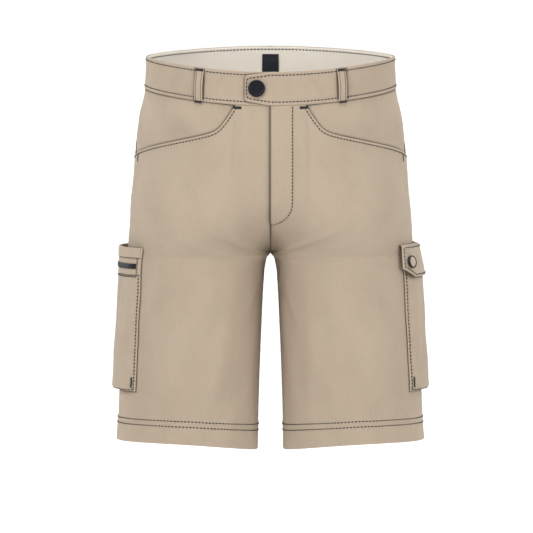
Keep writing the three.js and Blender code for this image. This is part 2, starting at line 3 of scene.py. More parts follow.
import bpy
import numpy as np
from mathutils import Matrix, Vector


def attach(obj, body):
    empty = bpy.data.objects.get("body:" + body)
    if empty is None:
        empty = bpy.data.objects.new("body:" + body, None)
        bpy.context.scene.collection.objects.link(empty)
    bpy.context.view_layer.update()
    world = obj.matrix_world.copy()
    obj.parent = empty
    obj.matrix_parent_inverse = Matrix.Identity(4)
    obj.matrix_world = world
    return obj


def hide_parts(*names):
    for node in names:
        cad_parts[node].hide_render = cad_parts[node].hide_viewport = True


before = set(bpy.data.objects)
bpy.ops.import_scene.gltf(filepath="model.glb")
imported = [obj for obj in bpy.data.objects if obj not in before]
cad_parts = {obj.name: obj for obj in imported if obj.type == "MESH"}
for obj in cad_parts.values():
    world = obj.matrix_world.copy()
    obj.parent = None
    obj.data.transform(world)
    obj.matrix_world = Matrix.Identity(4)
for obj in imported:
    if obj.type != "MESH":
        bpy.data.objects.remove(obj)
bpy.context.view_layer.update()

# Cargo shorts in plain twill, filled out as when worn. Lengths are in millimetres until a mesh is
# made. The form and its folds follow the part's own source, with a closed centre seam and rounder
# curves at the crotch and at the pocket mouths.
MM = 0.001
rng = np.random.default_rng(41)

# Cloth and seams
CLOTH_THICK = 1.2
BAND_THICK = 2.0
LINING_THICK = 1.1
SEAM = 0.3  # the gap between pieces sewn edge to edge
LAID_ON = 0.4  # the gap under a piece laid on another
FOLD_RADIUS = 1.1  # of a folded edge, at most
SHADE_PER_RELIEF = 0.3  # painted shade for each millimetre that the cloth lies low
RUBBED_EDGE = (0.6, 1.2)  # wear of a folded edge, and how far in it reaches
RAW_EDGE_SHADOW = (0.95, 1.3)  # the same for the painted shadow line along a raw edge

# Waistband and fly
BAND_TOP = 20.8
BAND_BOTTOM = -21.0
BAND_PROUD = 0.8
TAB_LENGTH = 33.0
TAB_TAPER = 4.2
TAB_CORNER = 5.0
TAB_STITCH_IN = 2.4
TAB_LIFT = BAND_PROUD + SEAM + CLOTH_THICK
TAB_RAMP = 14.0
FLY_STITCH = 28.0  # from the centre front
FLY_FOOT = -195.0  # height where the fly's stitching meets the centre front
FLY_TOP = -43.0
FLY_BEND = 27.0  # the stitching starts to curve this far above its foot

# Panels and hems
HEM_LEVEL = -477.0
HEM_DEPTH = 36.0
HEM_THICK = 2.4
HEM_ROWS = (23.0, 30.0)  # stitching above the hem's edge
CROTCH_LEVEL = -238.5

# Hand pockets
MOUTH_START = 48.0
MOUTH_STEEP = 1.75
MOUTH_CORNER_ALONG = 68.4
MOUTH_CORNER_Z = -77.5
MOUTH_SHALLOW = 0.18
MOUTH_ROUND = 13.0
MOUTH_LEVEL = -80.0
MOUTH_UNDERLAP = 14.0
FACING_DROP = CLOTH_THICK + LAID_ON
FACING_LEAD = 9.0
MOUTH_TACK = (37.5, 48.5)  # ends of the tack over the mouth, from the centre front
SIDE_TACK = (-105.0, -116.0)  # heights of the ends of the tack below the mouth
SIDE_TACK_IN = 34.0  # from the side seam

# Belt loops
LOOP_WIDTH = 11.0
LOOP_THICK = 1.6
LOOP_BOW = 3.0
LOOP_BELOW_SEAM = 3.0
LOOP_SEWN = 0.1  # share of its length that is sewn down at each end
LOOP_STITCH_IN = 2.0
LOOP_THREAD = 1.0
LOOP_PITCH = 3.4
LOOP_SHADOW = 1.1  # the bowed loops shade the band this much further on the side they lean to
CENTRE_BACK = 1.0
# The side of each loop and its place round it, from 0 at the centre front to 1 at the centre back
LOOPS = {
    "front_right": (-1, 0.208),
    "front_left": (1, 0.208),
    "back_right": (-1, 0.72),
    "back_left": (1, 0.72),
    "centre_back": (1, CENTRE_BACK),
}

# Cargo pockets
POCKET_THICK = 1.3
TOOL_POCKET = {"side": -1, "half": 84.5, "foot": 74.0, "top": -225.5, "bottom": -411.5, "depth": 8.6}
FLAP_POCKET = {"side": 1, "half": 74.0, "foot": 64.5, "top": -248.0, "bottom": -411.5, "depth": 8.6}
LEG_POCKETS = {-1: TOOL_POCKET, 1: FLAP_POCKET}
POCKET_EDGE_ROUND = 18.0
POCKET_FOOT_ROUND = 4.0
POCKET_MARGIN = 2.2  # the sewn edge, flat on the leg
POCKET_HEM = 13.6
POCKET_BAND = 21.5
STRAP_WIDTH = 6.5
STRAP_THICK = 1.2
STRAP_SHARE = 0.945
HEM_SHARE = 0.985
STRIP_IN = 3.8  # the strips down the tool pocket's band, in from each side
POCKET_TACK = (-393.0, -406.5)  # levels of the ends of a tack at a pocket's lower corner
POCKET_TACK_IN = 2.4
# Soft dents and ridges in a pocket: the place round it and up from its foot, the length, the width,
# the lean in degrees and the height
POUCH_FOLDS = (
    (-52, 60, 46, 8, 14, 0.8),
    (-24, 100, 52, 8, -13, -0.6),
    (18, 50, 44, 9, 12, 0.8),
    (48, 90, 50, 10, -12, -0.8),
    (-62, 24, 22, 7, 48, -0.8),
    (60, 26, 24, 7, -46, -0.8),
)
FLAP = {"side": 1, "half": 83.0, "foot": 87.0, "top": -221.0, "bottom": -263.5}
FLAP_SHOULDER = 4.0
FLAP_CHAMFER = 21.0
FLAP_RISE = 11.0
FLAP_THICK = 1.6
FLAP_STAND_TOP = 6.6
FLAP_STAND_BOTTOM = 12.2
FLAP_SPREAD = 16.0
FLAP_BUTTON_IN = 15.5
FLAP_BUTTON_UP = 19.0
FLAP_STITCH_IN = 2.8

# Buttons, label and sewing
WAIST_BUTTON = {"radius": 11.0, "thick": 3.4}
WAIST_BUTTON_ALONG = -17.7
FLAP_BUTTON = {"radius": 8.4, "thick": 3.8}
SNAP_SPAN = 4.0  # a snap faces as the flap does this far round its middle
LABEL_WIDTH = 22.0
LABEL_FROM = 10.4
LABEL_LENGTH = 28.0
LABEL_THICK = 0.8
STITCH_IN = 4.3  # a row of stitches lies this far inside an edge
MOUTH_STITCH_IN = 3.4
STITCH_PITCH = 4.6
FLY_PITCH = 4.4
STITCH_LENGTH = 2.6
THREAD = 1.5
TACK_PITCH = 0.62
TACK_THREAD = 0.85
TUBE_SIDES = 6
STITCH_RINGS = 7
TACK_POINTS = 20
ROW_POINTS = 500
PANEL_ROW_POINTS = 400
OUTLINE_POINTS = 160
BUTTON_RINGS = 40
BUTTON_SIDES = 72

# Relief of sewn cloth
EDGE_PAD = 0.28  # a turned edge stands this much higher
HEM_PUCKER_UP = 26  # the middle of the puckers of a hem, above its edge
ROW_GROOVE = (0.34, 0.8)  # depth and width of the groove that a row of stitches draws
EDGE_PUCKER = (6.5, 9.5)  # reach and wave of the puckers along a stitched edge
SEAM_GROOVE = (0.75, 1.4)
SEAM_PUCKER = (8, 11)
WAIST_BUTTON_DENT = (0.55, 12)  # depth and width
SNAP_DENT = (0.7, 9)
ALLOWANCE = (5, 0.22, 3)  # the turned cloth beside a seam: its distance, height and width
WAIST_PUCKER_REACH = 9
SEAM_CLOSES = (26, 60)  # the centre seam's relief ends between these heights above the crotch
SEAM_OPENS = (-8, -30)  # and starts again between these below it

# Sections of the cloth from waist to hem: the heights of one row at the side seam, the centre
# front and the centre back, half the whole width, the depths to the front and the back, the share
# that is a leg of its own, the inseam's distance from the middle and how far back it lies, how
# quickly the row leaves the side's height, and how full its corners are.
COLUMNS = ("side", "fore", "aft", "wide", "front", "back", "leg", "inner", "fork", "dip", "square")
SECTIONS = np.array([
    [20.8, 1.0, 32.8, 160.4, 116, 118, 0.0, 0, 0, 1.4, 2.12],
    [-21, -42.3, -9.0, 162.6, 120, 122, 0.0, 0, 0, 1.4, 2.15],
    [-60, -80.5, -50, 170.6, 124, 128, 0.0, 0, 0, 1.4, 2.2],
    [-100, -118.5, -92, 175.1, 126, 134, 0.0, 0, 0, 1.5, 2.2],
    [-140, -156.5, -135, 178.6, 126, 137, 0.05, 0, 4, 1.6, 2.2],
    [-175, -189, -173.5, 181.4, 124.5, 136, 0.2, 0, 8, 1.8, 2.2],
    [-205, -215, -206, 183.5, 121.5, 132, 0.47, 0, 10, 2.0, 2.2],
    [-226, -230, -227, 184.9, 118.5, 128, 0.78, 0, 12, 2.0, 2.2],
    [-238.5, -236.6, -236.6, 185.7, 117, 125.5, 1.0, 0, 12, 2.0, 2.2],
    [-239.5, -237.8, -237.8, 185.8, 116.8, 125.3, 1.0, 2.0, 12, 2.0, 2.2],
    [-241, -239.5, -239.5, 185.9, 116.5, 125.0, 1.0, 3.5, 12, 2.0, 2.2],
    [-244, -243, -243, 186.1, 116, 124.5, 1.0, 5.2, 12, 2.0, 2.2],
    [-262, -262, -262, 187.2, 114, 121.5, 1.0, 8.3, 11, 2.0, 2.2],
    [-330, -332, -332, 191.4, 106, 112, 1.0, 12.0, 8, 2.5, 2.2],
    [-405, -411, -411, 195.8, 98, 102, 1.0, 15.0, 5, 4.0, 2.2],
    [-477, -490.5, -490.5, 199.4, 91, 95, 1.0, 17.0, 3, 5.0, 2.2],
])

# Soft folds: the leg's side, the place round it, the level, how long and how wide each is, its
# lean from upright in degrees and its height. They are the source's own.
FOLDS = (
    (1, 0.07, -262, 62, 13, 52, 1.7),
    (-1, 0.075, -258, 66, 12, 48, 1.8),
    (1, 0.22, -420, 110, 26, 6, 1.6),
    (-1, 0.2, -405, 120, 28, -5, 1.7),
    (1, 0.34, -300, 120, 24, 12, -1.4),
    (-1, 0.33, -315, 110, 25, 10, -1.5),
    (1, 0.9, -258, 90, 17, -58, -2.2),
    (-1, 0.89, -262, 84, 18, -55, -2.4),
    (1, 0.8, -380, 130, 30, -6, 2.0),
    (-1, 0.78, -395, 120, 28, 5, 1.9),
)

# Creases worn into the cloth, in the same columns. Each is a ridge with a trough on its lower side.
CREASES = (
    (1, 0.1, -222, 88, 15, 60, 1.9),
    (-1, 0.115, -215, 80, 14, 57, 2.1),
    (1, 0.075, -246, 62, 12, 74, 1.2),
    (-1, 0.08, -241, 66, 12, 71, 1.3),
    (1, 0.17, -196, 74, 16, 52, 0.9),
    (-1, 0.15, -183, 86, 17, 49, 1.0),
    (1, 0.1, -305, 92, 17, -30, -1.7),
    (-1, 0.09, -297, 100, 17, -34, -1.8),
    (1, 0.17, -352, 150, 26, 5, 1.8),
    (-1, 0.19, -366, 160, 27, -4, 1.9),
    (1, 0.07, -402, 120, 24, -6, -1.2),
    (-1, 0.065, -392, 130, 24, 8, -1.3),
    (1, 0.26, -262, 110, 26, 14, -1.1),
    (-1, 0.27, -250, 100, 26, 12, -1.0),
    (1, 0.21, -128, 62, 15, 38, 0.8),
    (-1, 0.2, -135, 70, 15, 34, 0.9),
    (1, 0.06, -96, 84, 17, 12, 0.7),
    (-1, 0.07, -104, 90, 18, 8, 0.8),
    (1, 0.14, -452, 60, 20, 4, -1.0),
    (-1, 0.13, -455, 56, 19, -6, -1.1),
    (1, 0.3, -455, 58, 20, 3, 1.0),
    (-1, 0.29, -448, 64, 21, -4, 1.1),
    (1, 0.82, -212, 130, 23, -63, 2.4),
    (-1, 0.81, -217, 122, 22, -60, 2.5),
    (1, 0.9, -236, 84, 17, -70, 1.5),
    (-1, 0.9, -231, 90, 17, -68, 1.5),
    (1, 0.7, -118, 96, 26, 18, -1.5),
    (-1, 0.71, -126, 104, 25, -14, -1.5),
    (1, 0.86, -96, 70, 22, -20, 0.9),
    (-1, 0.85, -88, 76, 22, 16, 0.9),
    (1, 0.93, -414, 110, 20, 8, -1.8),
    (-1, 0.92, -406, 104, 20, -7, -1.8),
    (1, 0.68, -330, 140, 26, -5, 1.9),
    (-1, 0.69, -322, 150, 26, 6, 1.8),
    (1, 0.86, -318, 120, 22, 14, 1.7),
    (-1, 0.85, -326, 112, 22, -11, 1.7),
)

# Grid of the form
HALF_STEPS = 72  # columns from a centre to the side seam
LEVEL_STEP = 2.0
ROUND_STEPS = 2 * HALF_STEPS
PAD = 18  # columns of the form past the centre front and the centre back
TURN_COLUMNS = 2  # a normal is taken over this many columns each way
LEVELS = np.arange(BAND_TOP, HEM_LEVEL - LEVEL_STEP, -LEVEL_STEP)
HALVINGS = 30  # of the search for a level
GRADED_POINTS = 3000


def lerp(a, b, t):
    return a + (b - a) * t


def smooth(value, start, end):
    t = np.clip((value - start) / (end - start), 0, 1)
    return t * t * (3 - 2 * t)


def curve_through(keys, values):
    """A smooth curve through a column of a table that never passes its own points."""
    slope = np.diff(values) / np.diff(keys)
    before, after = slope[:-1], slope[1:]
    same_way = before * after > 0
    total = np.where(same_way, before + after, 1)
    between = np.where(same_way, 2 * before * after / total, 0)
    tangent = np.concatenate([slope[:1], between, slope[-1:]])

    def curve(key):
        k = np.clip(key, keys[0], keys[-1])
        i = np.clip(np.searchsorted(keys, k, side="right") - 1, 0, len(keys) - 2)
        span = keys[i + 1] - keys[i]
        t = (k - keys[i]) / span
        start = (2 * t**3 - 3 * t**2 + 1) * values[i] + (t**3 - 2 * t**2 + t) * span * tangent[i]
        return start + (3 * t**2 - 2 * t**3) * values[i + 1] + (t**3 - t**2) * span * tangent[i + 1]

    return curve


SECTION_CURVES = {name: curve_through(-SECTIONS[:, 0], SECTIONS[:, c]) for c, name in enumerate(COLUMNS)}


def run_along(line):
    """Distances of a line's points from its start."""
    return np.concatenate([[0], np.cumsum(np.linalg.norm(np.diff(line, axis=0), axis=1))])


def evenly(line, steps=HALF_STEPS):
    """The same line with its points at equal distances, and its length."""
    run = run_along(line)
    goal = np.linspace(0, run[-1], steps + 1)
    return np.stack([np.interp(goal, run, line[:, a]) for a in range(line.shape[1])], axis=1), run[-1]


def half_row(section, depth):
    """Half of one row in plan, from the centre or inseam to the side seam."""
    power = 2 / section["square"]
    width = section["wide"] - section["inner"]
    turn = np.linspace(0, math.pi / 2, HALF_STEPS + 1)
    hips = np.stack([section["inner"] + width * np.sin(turn) ** power, depth * np.cos(turn) ** power], axis=1)
    swing = np.cos(2 * turn)
    out = np.abs(np.sin(2 * turn)) ** power
    across = (section["wide"] + section["inner"] - width * np.sign(swing) * np.abs(swing) ** power) / 2
    leg = np.stack([across, lerp(section["fork"] * (1 + swing) / 2, depth, out)], axis=1)
    mixed = lerp(evenly(hips)[0], evenly(leg)[0], section["leg"])
    mixed[:, 1] *= abs(depth) / np.abs(mixed[:, 1]).max()
    return evenly(mixed)


def form_row(level):
    """One row of the left half's points, running on past both centres, and its two arcs."""
    section = {name: float(SECTION_CURVES[name](-level)) for name in COLUMNS}
    fore, fore_arc = half_row(section, -section["front"])
    aft, aft_arc = half_row(section, section["back"])
    plan = np.concatenate([fore, aft[-2::-1]])
    v = np.arange(ROUND_STEPS + 1) / ROUND_STEPS
    end = np.where(v < 0.5, section["fore"], section["aft"])
    z = level + (end - level) * np.abs(np.cos(math.pi * v)) ** section["dip"]
    row = np.column_stack([plan, z])
    if level > CROTCH_LEVEL:
        mirrored = row * (-1, 1, 1)
        before, after = mirrored[PAD:0:-1], mirrored[-2:-2 - PAD:-1]
    else:
        before, after = row[-1 - PAD:-1], row[1:PAD + 1]
    return np.concatenate([before, row, after]), fore_arc, aft_arc


def make_form():
    """Points and outward directions of the plain cloth, with a row to spare at each end."""
    made = [form_row(level) for level in LEVELS]
    points = np.array([row for row, _, _ in made])
    points = np.concatenate([2 * points[:1] - points[1:2], points, 2 * points[-1:] - points[-2:-1]])
    down = np.gradient(points, axis=0)
    round_row = np.zeros_like(points)
    round_row[:, TURN_COLUMNS:-TURN_COLUMNS] = points[:, 2 * TURN_COLUMNS:] - points[:, :-2 * TURN_COLUMNS]
    round_row[:, :TURN_COLUMNS] = round_row[:, TURN_COLUMNS:TURN_COLUMNS + 1]
    round_row[:, -TURN_COLUMNS:] = round_row[:, -TURN_COLUMNS - 1:-TURN_COLUMNS]
    normal = np.cross(down, round_row)
    normal /= np.linalg.norm(normal, axis=2, keepdims=True)
    arcs = np.array([(fore, aft) for _, fore, aft in made])
    return np.concatenate([points, normal], axis=2), arcs


FORM, ARCS = make_form()


def neighbour_weights(t):
    """Weights of four neighbours for a place t of the way between the middle two."""
    return (
        ((2 - t) * t - 1) * t / 2,
        ((3 * t - 5) * t * t + 2) / 2,
        ((4 - 3 * t) * t + 1) * t / 2,
        (t - 1) * t * t / 2,
    )


def on_form(side, u, level):
    """Point and outward direction of the plain cloth at a place."""
    side, u, level = np.broadcast_arrays(side, u, level)
    column = u * ROUND_STEPS + PAD
    row = (BAND_TOP - level) / LEVEL_STEP + 1
    i = np.clip(np.floor(row).astype(int), 1, FORM.shape[0] - 3)
    j = np.clip(np.floor(column).astype(int), 1, FORM.shape[1] - 3)
    row_weights = neighbour_weights(row - i)
    column_weights = neighbour_weights(column - j)
    total = np.zeros(u.shape + (6,))
    for a in range(4):
        for b in range(4):
            total += (row_weights[a] * column_weights[b])[..., None] * FORM[i + a - 1, j + b - 1]
    point, normal = total[..., :3], total[..., 3:]
    normal = normal / np.linalg.norm(normal, axis=-1, keepdims=True)
    flip = np.stack([side, np.ones_like(side), np.ones_like(side)], axis=-1)
    return point * flip, normal * flip


def arc(level, front):
    """Length of half a row, from the centre to the side seam."""
    fore = np.interp(-level, -LEVELS, ARCS[:, 0])
    aft = np.interp(-level, -LEVELS, ARCS[:, 1])
    return np.where(front, fore, aft)


def from_side(u, level):
    """Distance round from the side seam, negative towards the front."""
    return (u - 0.5) * 2 * arc(level, u < 0.5)


def u_from_side(along, level):
    return 0.5 + 0.5 * along / arc(level, np.asarray(along) < 0)


def u_from_front(along, level):
    return 0.5 * along / arc(level, True)


def swell(distance, over):
    return 1 - (1 - np.clip(distance / over, 0, 1)) ** 2


def pocket_half(pocket, level):
    share = (pocket["top"] - level) / (pocket["top"] - pocket["bottom"])
    return lerp(pocket["half"], pocket["foot"], share)


def height(u, level):
    """Height of a place on the plain cloth."""
    side = SECTION_CURVES["side"](-level)
    end = np.where(u < 0.5, SECTION_CURVES["fore"](-level), SECTION_CURVES["aft"](-level))
    return level + (end - side) * np.abs(np.cos(math.pi * u)) ** SECTION_CURVES["dip"](-level)


def level_at(u, z):
    """The level of the row that passes through a height at a place round the garment."""
    high = np.full(np.broadcast(u, z).shape, BAND_TOP)
    low = np.full(high.shape, HEM_LEVEL)
    for _ in range(HALVINGS):
        middle = (high + low) / 2
        above = height(u, middle) > z
        high = np.where(above, middle, high)
        low = np.where(above, low, middle)
    return (high + low) / 2


def places_at_height(z, first_u, u_at):
    """Places on a line that is given by its heights and by u at each level, from a first guess of u."""
    u = np.full(z.shape, first_u)
    for _ in range(3):
        level = level_at(u, z)
        u = u_at(level)
    return u, level


def ripple(run, wave, seed):
    """An uneven ripple along a line, between about -1 and 1."""
    a, b, c = np.random.default_rng(seed).uniform(0, 2 * math.pi, 3)
    turn = 2 * math.pi * run / wave
    return (np.sin(turn + a) + 0.7 * np.sin(turn / 1.37 + b) + 0.5 * np.sin(turn * 1.61 + c)) / 1.7


def across_fold(fold, side, u, level):
    """Distances along a fold and beside it in its own sizes, and whether it is on this side."""
    fold_side, fold_u, fold_level, long, wide, lean = fold[:6]
    across = (u - fold_u) * 2 * arc(level, True)
    up = level - fold_level
    turn = math.radians(lean)
    along = up * math.cos(turn) + across * math.sin(turn)
    aside = across * math.cos(turn) - up * math.sin(turn)
    return along / (long / 2), aside / (wide / 2), side == fold_side


def rise(side, u, level):
    """How far folds, creases and the cloth's slight unevenness lift it from the plain form."""
    drift = np.sin(2 * math.pi * (2.3 * u + level / 97) + 1.1 * side)
    drift = drift + 0.7 * np.sin(2 * math.pi * (3.7 * u - level / 61) + 2.3 * side)
    crossing = np.sin(2 * math.pi * (6.1 * u - level / 29))
    crumple = np.sin(2 * math.pi * (9.3 * u + level / 41) + side) * crossing
    crumple = crumple + 0.7 * np.sin(2 * math.pi * (15.7 * u - level / 53) + 3 * side)
    below_band = smooth(level, -20, -60)
    lift = np.sin(math.pi * u) * (0.3 * drift + 0.17 * crumple) * below_band
    for fold in FOLDS:
        along, aside, here = across_fold(fold, side, u, level)
        lift = lift + here * fold[6] * np.exp(-along**2 - aside**2)
    for crease in CREASES:
        along, aside, here = across_fold(crease, side, u, level)
        bent = aside + 0.5 * along**2
        ridge = np.exp(-bent**2) - 0.5 * np.exp(-((bent - 1.5) / 1.25) ** 2)
        lift = lift + here * crease[6] * ridge * np.exp(-along**2) * below_band
    return lift


def on_cloth(side, u, level, out):
    """The cloth's place, moved out from the panels' face."""
    point, normal = on_form(side, u, level)
    return point + normal * (out + rise(np.asarray(side), u, level))[..., None]


# Low relief of sewn cloth

def hump(distance, high, wide):
    """A round hump along a line, with the distance from its middle."""
    return high * np.exp(-(distance / wide) ** 2)


def groove(distance, deep, wide):
    return -hump(distance, deep, wide)


def dent(distance, deep, wide):
    """A flat round dent, as under a button, with the distance from its middle."""
    return -deep * np.exp(-(distance / wide) ** 4)


def sewn_edge(distance, run, seed, row=STITCH_IN, pucker=0.2):
    """An edge turned in and stitched: thicker up to its row of stitches, drawn in along it."""
    reach, wave = EDGE_PUCKER
    padded = hump(distance - row / 2, EDGE_PAD, row / 2.4)
    drawn = hump(distance - row, pucker, reach) * ripple(run, wave, seed)
    return padded + drawn + groove(distance - row, *ROW_GROOVE)


def plain_seam(distance, run, seed, pucker=0.16):
    """Two pieces sewn edge to edge: a valley with the seam allowance showing beside it."""
    reach, wave = SEAM_PUCKER
    allowance_in, high, wide = ALLOWANCE
    drawn = hump(distance, pucker, reach) * ripple(run, wave, seed)
    return hump(distance - allowance_in, high, wide) + drawn + groove(distance, *SEAM_GROOVE)


def centre_seam(distance, level, seed):
    """The centre seam, with no valley between the legs, where both halves lie against each other."""
    up = level - CROTCH_LEVEL
    return plain_seam(distance, level, seed, 0.2) * (smooth(up, *SEAM_CLOSES) + smooth(up, *SEAM_OPENS))


def waist_pucker(level, run, high, wave, seed):
    """The puckers just below the waist seam."""
    return hump(PANEL_TOP - level, high, WAIST_PUCKER_REACH) * ripple(run, wave, seed)


def graded(start, end, marks, fine=0.5, coarse=3.6, reach=1.8):
    """Stops from start to end that crowd near the marks."""
    x = np.linspace(start, end, GRADED_POINTS)
    near = np.zeros(x.shape)
    for mark in marks:
        near = np.maximum(near, hump(x - mark, 1, reach))
    density = 1 / coarse + (1 / fine - 1 / coarse) * near
    count = np.concatenate([[0], np.cumsum((density[1:] + density[:-1]) / 2 * np.diff(x))])
    return np.interp(np.linspace(0, count[-1], int(math.ceil(count[-1])) + 1), count, x)


# Meshes

def mesh_object(name, points, faces, material, grain=None, tone=None):
    """A smooth mesh with its grain map in metres and its wear and painted shade, from -1, shaded in a seam,
    to 1, rubbed on an edge.
    """
    mesh = bpy.data.meshes.new(name)
    mesh.from_pydata((points * MM).tolist(), [], faces.tolist())
    mesh.polygons.foreach_set("use_smooth", np.ones(len(mesh.polygons), bool))
    if grain is not None:
        corner = np.zeros(len(mesh.loops), np.int32)
        mesh.loops.foreach_get("vertex_index", corner)
        places = (grain[corner] * MM).astype(np.float32).ravel()
        mesh.uv_layers.new(name="grain").data.foreach_set("uv", places)
    if tone is not None:
        mesh.attributes.new("wear_and_shade", "FLOAT", "POINT").data.foreach_set("value", tone.astype(np.float32))
    mesh.materials.append(material)
    mesh.update()
    made = bpy.data.objects.new(name, mesh)
    bpy.context.scene.collection.objects.link(made)
    return made


def grid_quads(index):
    return np.stack([index[:-1, :-1], index[1:, :-1], index[1:, 1:], index[:-1, 1:]], axis=-1).reshape(-1, 4)


def outward_faces(points, faces):
    """The faces of a closed mesh, turned round if they point inwards."""
    a, b, c, d = (points[faces[:, k]] for k in range(4))
    volume = np.sum(np.cross(b, c) * a) + np.sum(np.cross(c, d) * a)
    return faces[:, ::-1] if volume < 0 else faces


def closed_wall(name, outer, inner, material, grain, tone):
    """Cloth between an outer grid and an inner grid of points, closed round its rim."""
    across, down = outer.shape[:2]
    front = np.arange(across * down).reshape(across, down)
    back = front + across * down
    rim = np.concatenate([front[:, 0], front[-1, 1:], front[-2::-1, -1], front[0, -2:0:-1]])
    ahead = np.roll(rim, -1)
    rim_quads = np.stack([ahead, rim, rim + across * down, ahead + across * down], axis=-1)
    faces = np.concatenate([grid_quads(front), grid_quads(back)[:, ::-1], rim_quads])
    points = np.concatenate([outer.reshape(-1, 3), inner.reshape(-1, 3)])
    faces = outward_faces(points, faces)
    grain = np.tile(grain.reshape(-1, 2), (2, 1))
    return mesh_object(name, points, faces, material, grain, np.tile(tone.ravel(), 2))


def edge_distances(points):
    """Distances of a grid's points from its first and last column and its first and last row."""
    round_run = np.cumsum(np.linalg.norm(np.diff(points, axis=0, prepend=points[:1]), axis=2), axis=0)
    down_run = np.cumsum(np.linalg.norm(np.diff(points, axis=1, prepend=points[:, :1]), axis=2), axis=1)
    return {
        "start": round_run,
        "end": round_run[-1:] - round_run,
        "top": down_run,
        "foot": down_run[:, -1:] - down_run,
    }


def folded(distance, radius):
    """How far a folded edge has turned away at a distance from its end."""
    left = np.clip(1 - distance / radius, 0, 1)
    return radius * 0.86 * (1 - np.sqrt(1 - left * left * 0.98))


def beside(distance, wide=1.5):
    """A painted shadow on cloth beside an edge that lies on it, from 1 at the edge and under it to 0."""
    return hump(np.maximum(distance, 0), 1, wide)


def zero(u, level):
    return np.zeros(np.broadcast(u, level).shape)


class Cloth:
    """A piece of cloth: how far its face and its inside lie from the panels' face, its relief, and
    the shadow painted on it beside what lies on it."""

    def __init__(self, side, face, inside, relief=None, shade=None):
        self.side = side
        self.face = face
        self.inside = inside
        self.relief = relief or zero
        self.shade = shade or zero

    def out(self, u, level):
        return self.face(u, level) + self.relief(u, level)

    def place(self, u, level, lift=0.0):
        return on_cloth(self.side, u, level, self.out(u, level) + lift)

    def place_inside(self, u, level, lift=0.0):
        return on_cloth(self.side, u, level, self.inside(u, level) - lift)

    def wall(self, name, u, level, material, folds="", turn_grain=False):
        """The piece's mesh over a grid of places. folds names the edges that are folded and round."""
        side, u, level = np.broadcast_arrays(self.side, u, level)
        face, within, relief = self.face(u, level), self.inside(u, level), self.relief(u, level)
        edges = edge_distances(on_cloth(side, u, level, face))
        radius = np.minimum((face - within) / 2, FOLD_RADIUS)
        turned = np.zeros(u.shape)
        # The wear attribute: painted shade where the cloth lies low and beside what lies on it, lighter
        # rubbed wear on folded edges and a painted shadow line along raw edges.
        tone = np.minimum(relief, 0) * SHADE_PER_RELIEF - self.shade(u, level)
        for edge, distance in edges.items():
            if edge in folds.split():
                turned = np.maximum(turned, folded(distance, radius))
                tone = tone + hump(distance, *RUBBED_EDGE)
            else:
                # A raw edge gets a painted shadow line.
                tone = tone + groove(distance, *RAW_EDGE_SHADOW)
        outer = on_cloth(side, u, level, face + relief - turned)
        inner = on_cloth(side, u, level, within + turned)
        round_way, down_way = edges["start"], -edges["top"]
        grain = np.stack([down_way, round_way] if turn_grain else [round_way, down_way], axis=-1)
        return closed_wall(name, outer, inner, material, grain, np.clip(tone, -1, 1))


# Sewing

def stitch_line(places, pitch=STITCH_PITCH):
    """Distances along a line of its points, and of the middles of the stitches on it."""
    run = run_along(places)
    count = max(2, int(round(run[-1] / pitch)))
    middles = (np.arange(count) + 0.5) * run[-1] / count
    return run, middles


def line_at(run, line, where):
    return np.stack([np.interp(where, run, line[:, a]) for a in range(3)], axis=-1)


def thread_tubes(centres, normals, radius):
    """Closed tubes round lines of points, given as tubes by rings by 3, and their faces."""
    tubes, rings = centres.shape[:2]
    ahead = np.gradient(centres, axis=1)
    ahead /= np.linalg.norm(ahead, axis=2, keepdims=True)
    sideways = np.cross(ahead, normals)
    sideways /= np.linalg.norm(sideways, axis=2, keepdims=True)
    up = np.cross(sideways, ahead)
    turn = np.arange(TUBE_SIDES) * 2 * math.pi / TUBE_SIDES
    share = np.sin(np.linspace(0.12, 1 - 0.12, rings) * math.pi) ** 0.35
    size = (radius * share)[None, :, None, None]
    circle = sideways[:, :, None] * np.cos(turn)[:, None] + up[:, :, None] * np.sin(turn)[:, None]
    points = centres[:, :, None] + circle * size
    index = np.arange(tubes * rings * TUBE_SIDES).reshape(tubes, rings, TUBE_SIDES)
    a, b = index[:, :-1], index[:, 1:]
    sides = np.stack([a, np.roll(a, -1, axis=2), np.roll(b, -1, axis=2), b], axis=-1).reshape(-1, 4)
    return points.reshape(-1, 3), sides, index


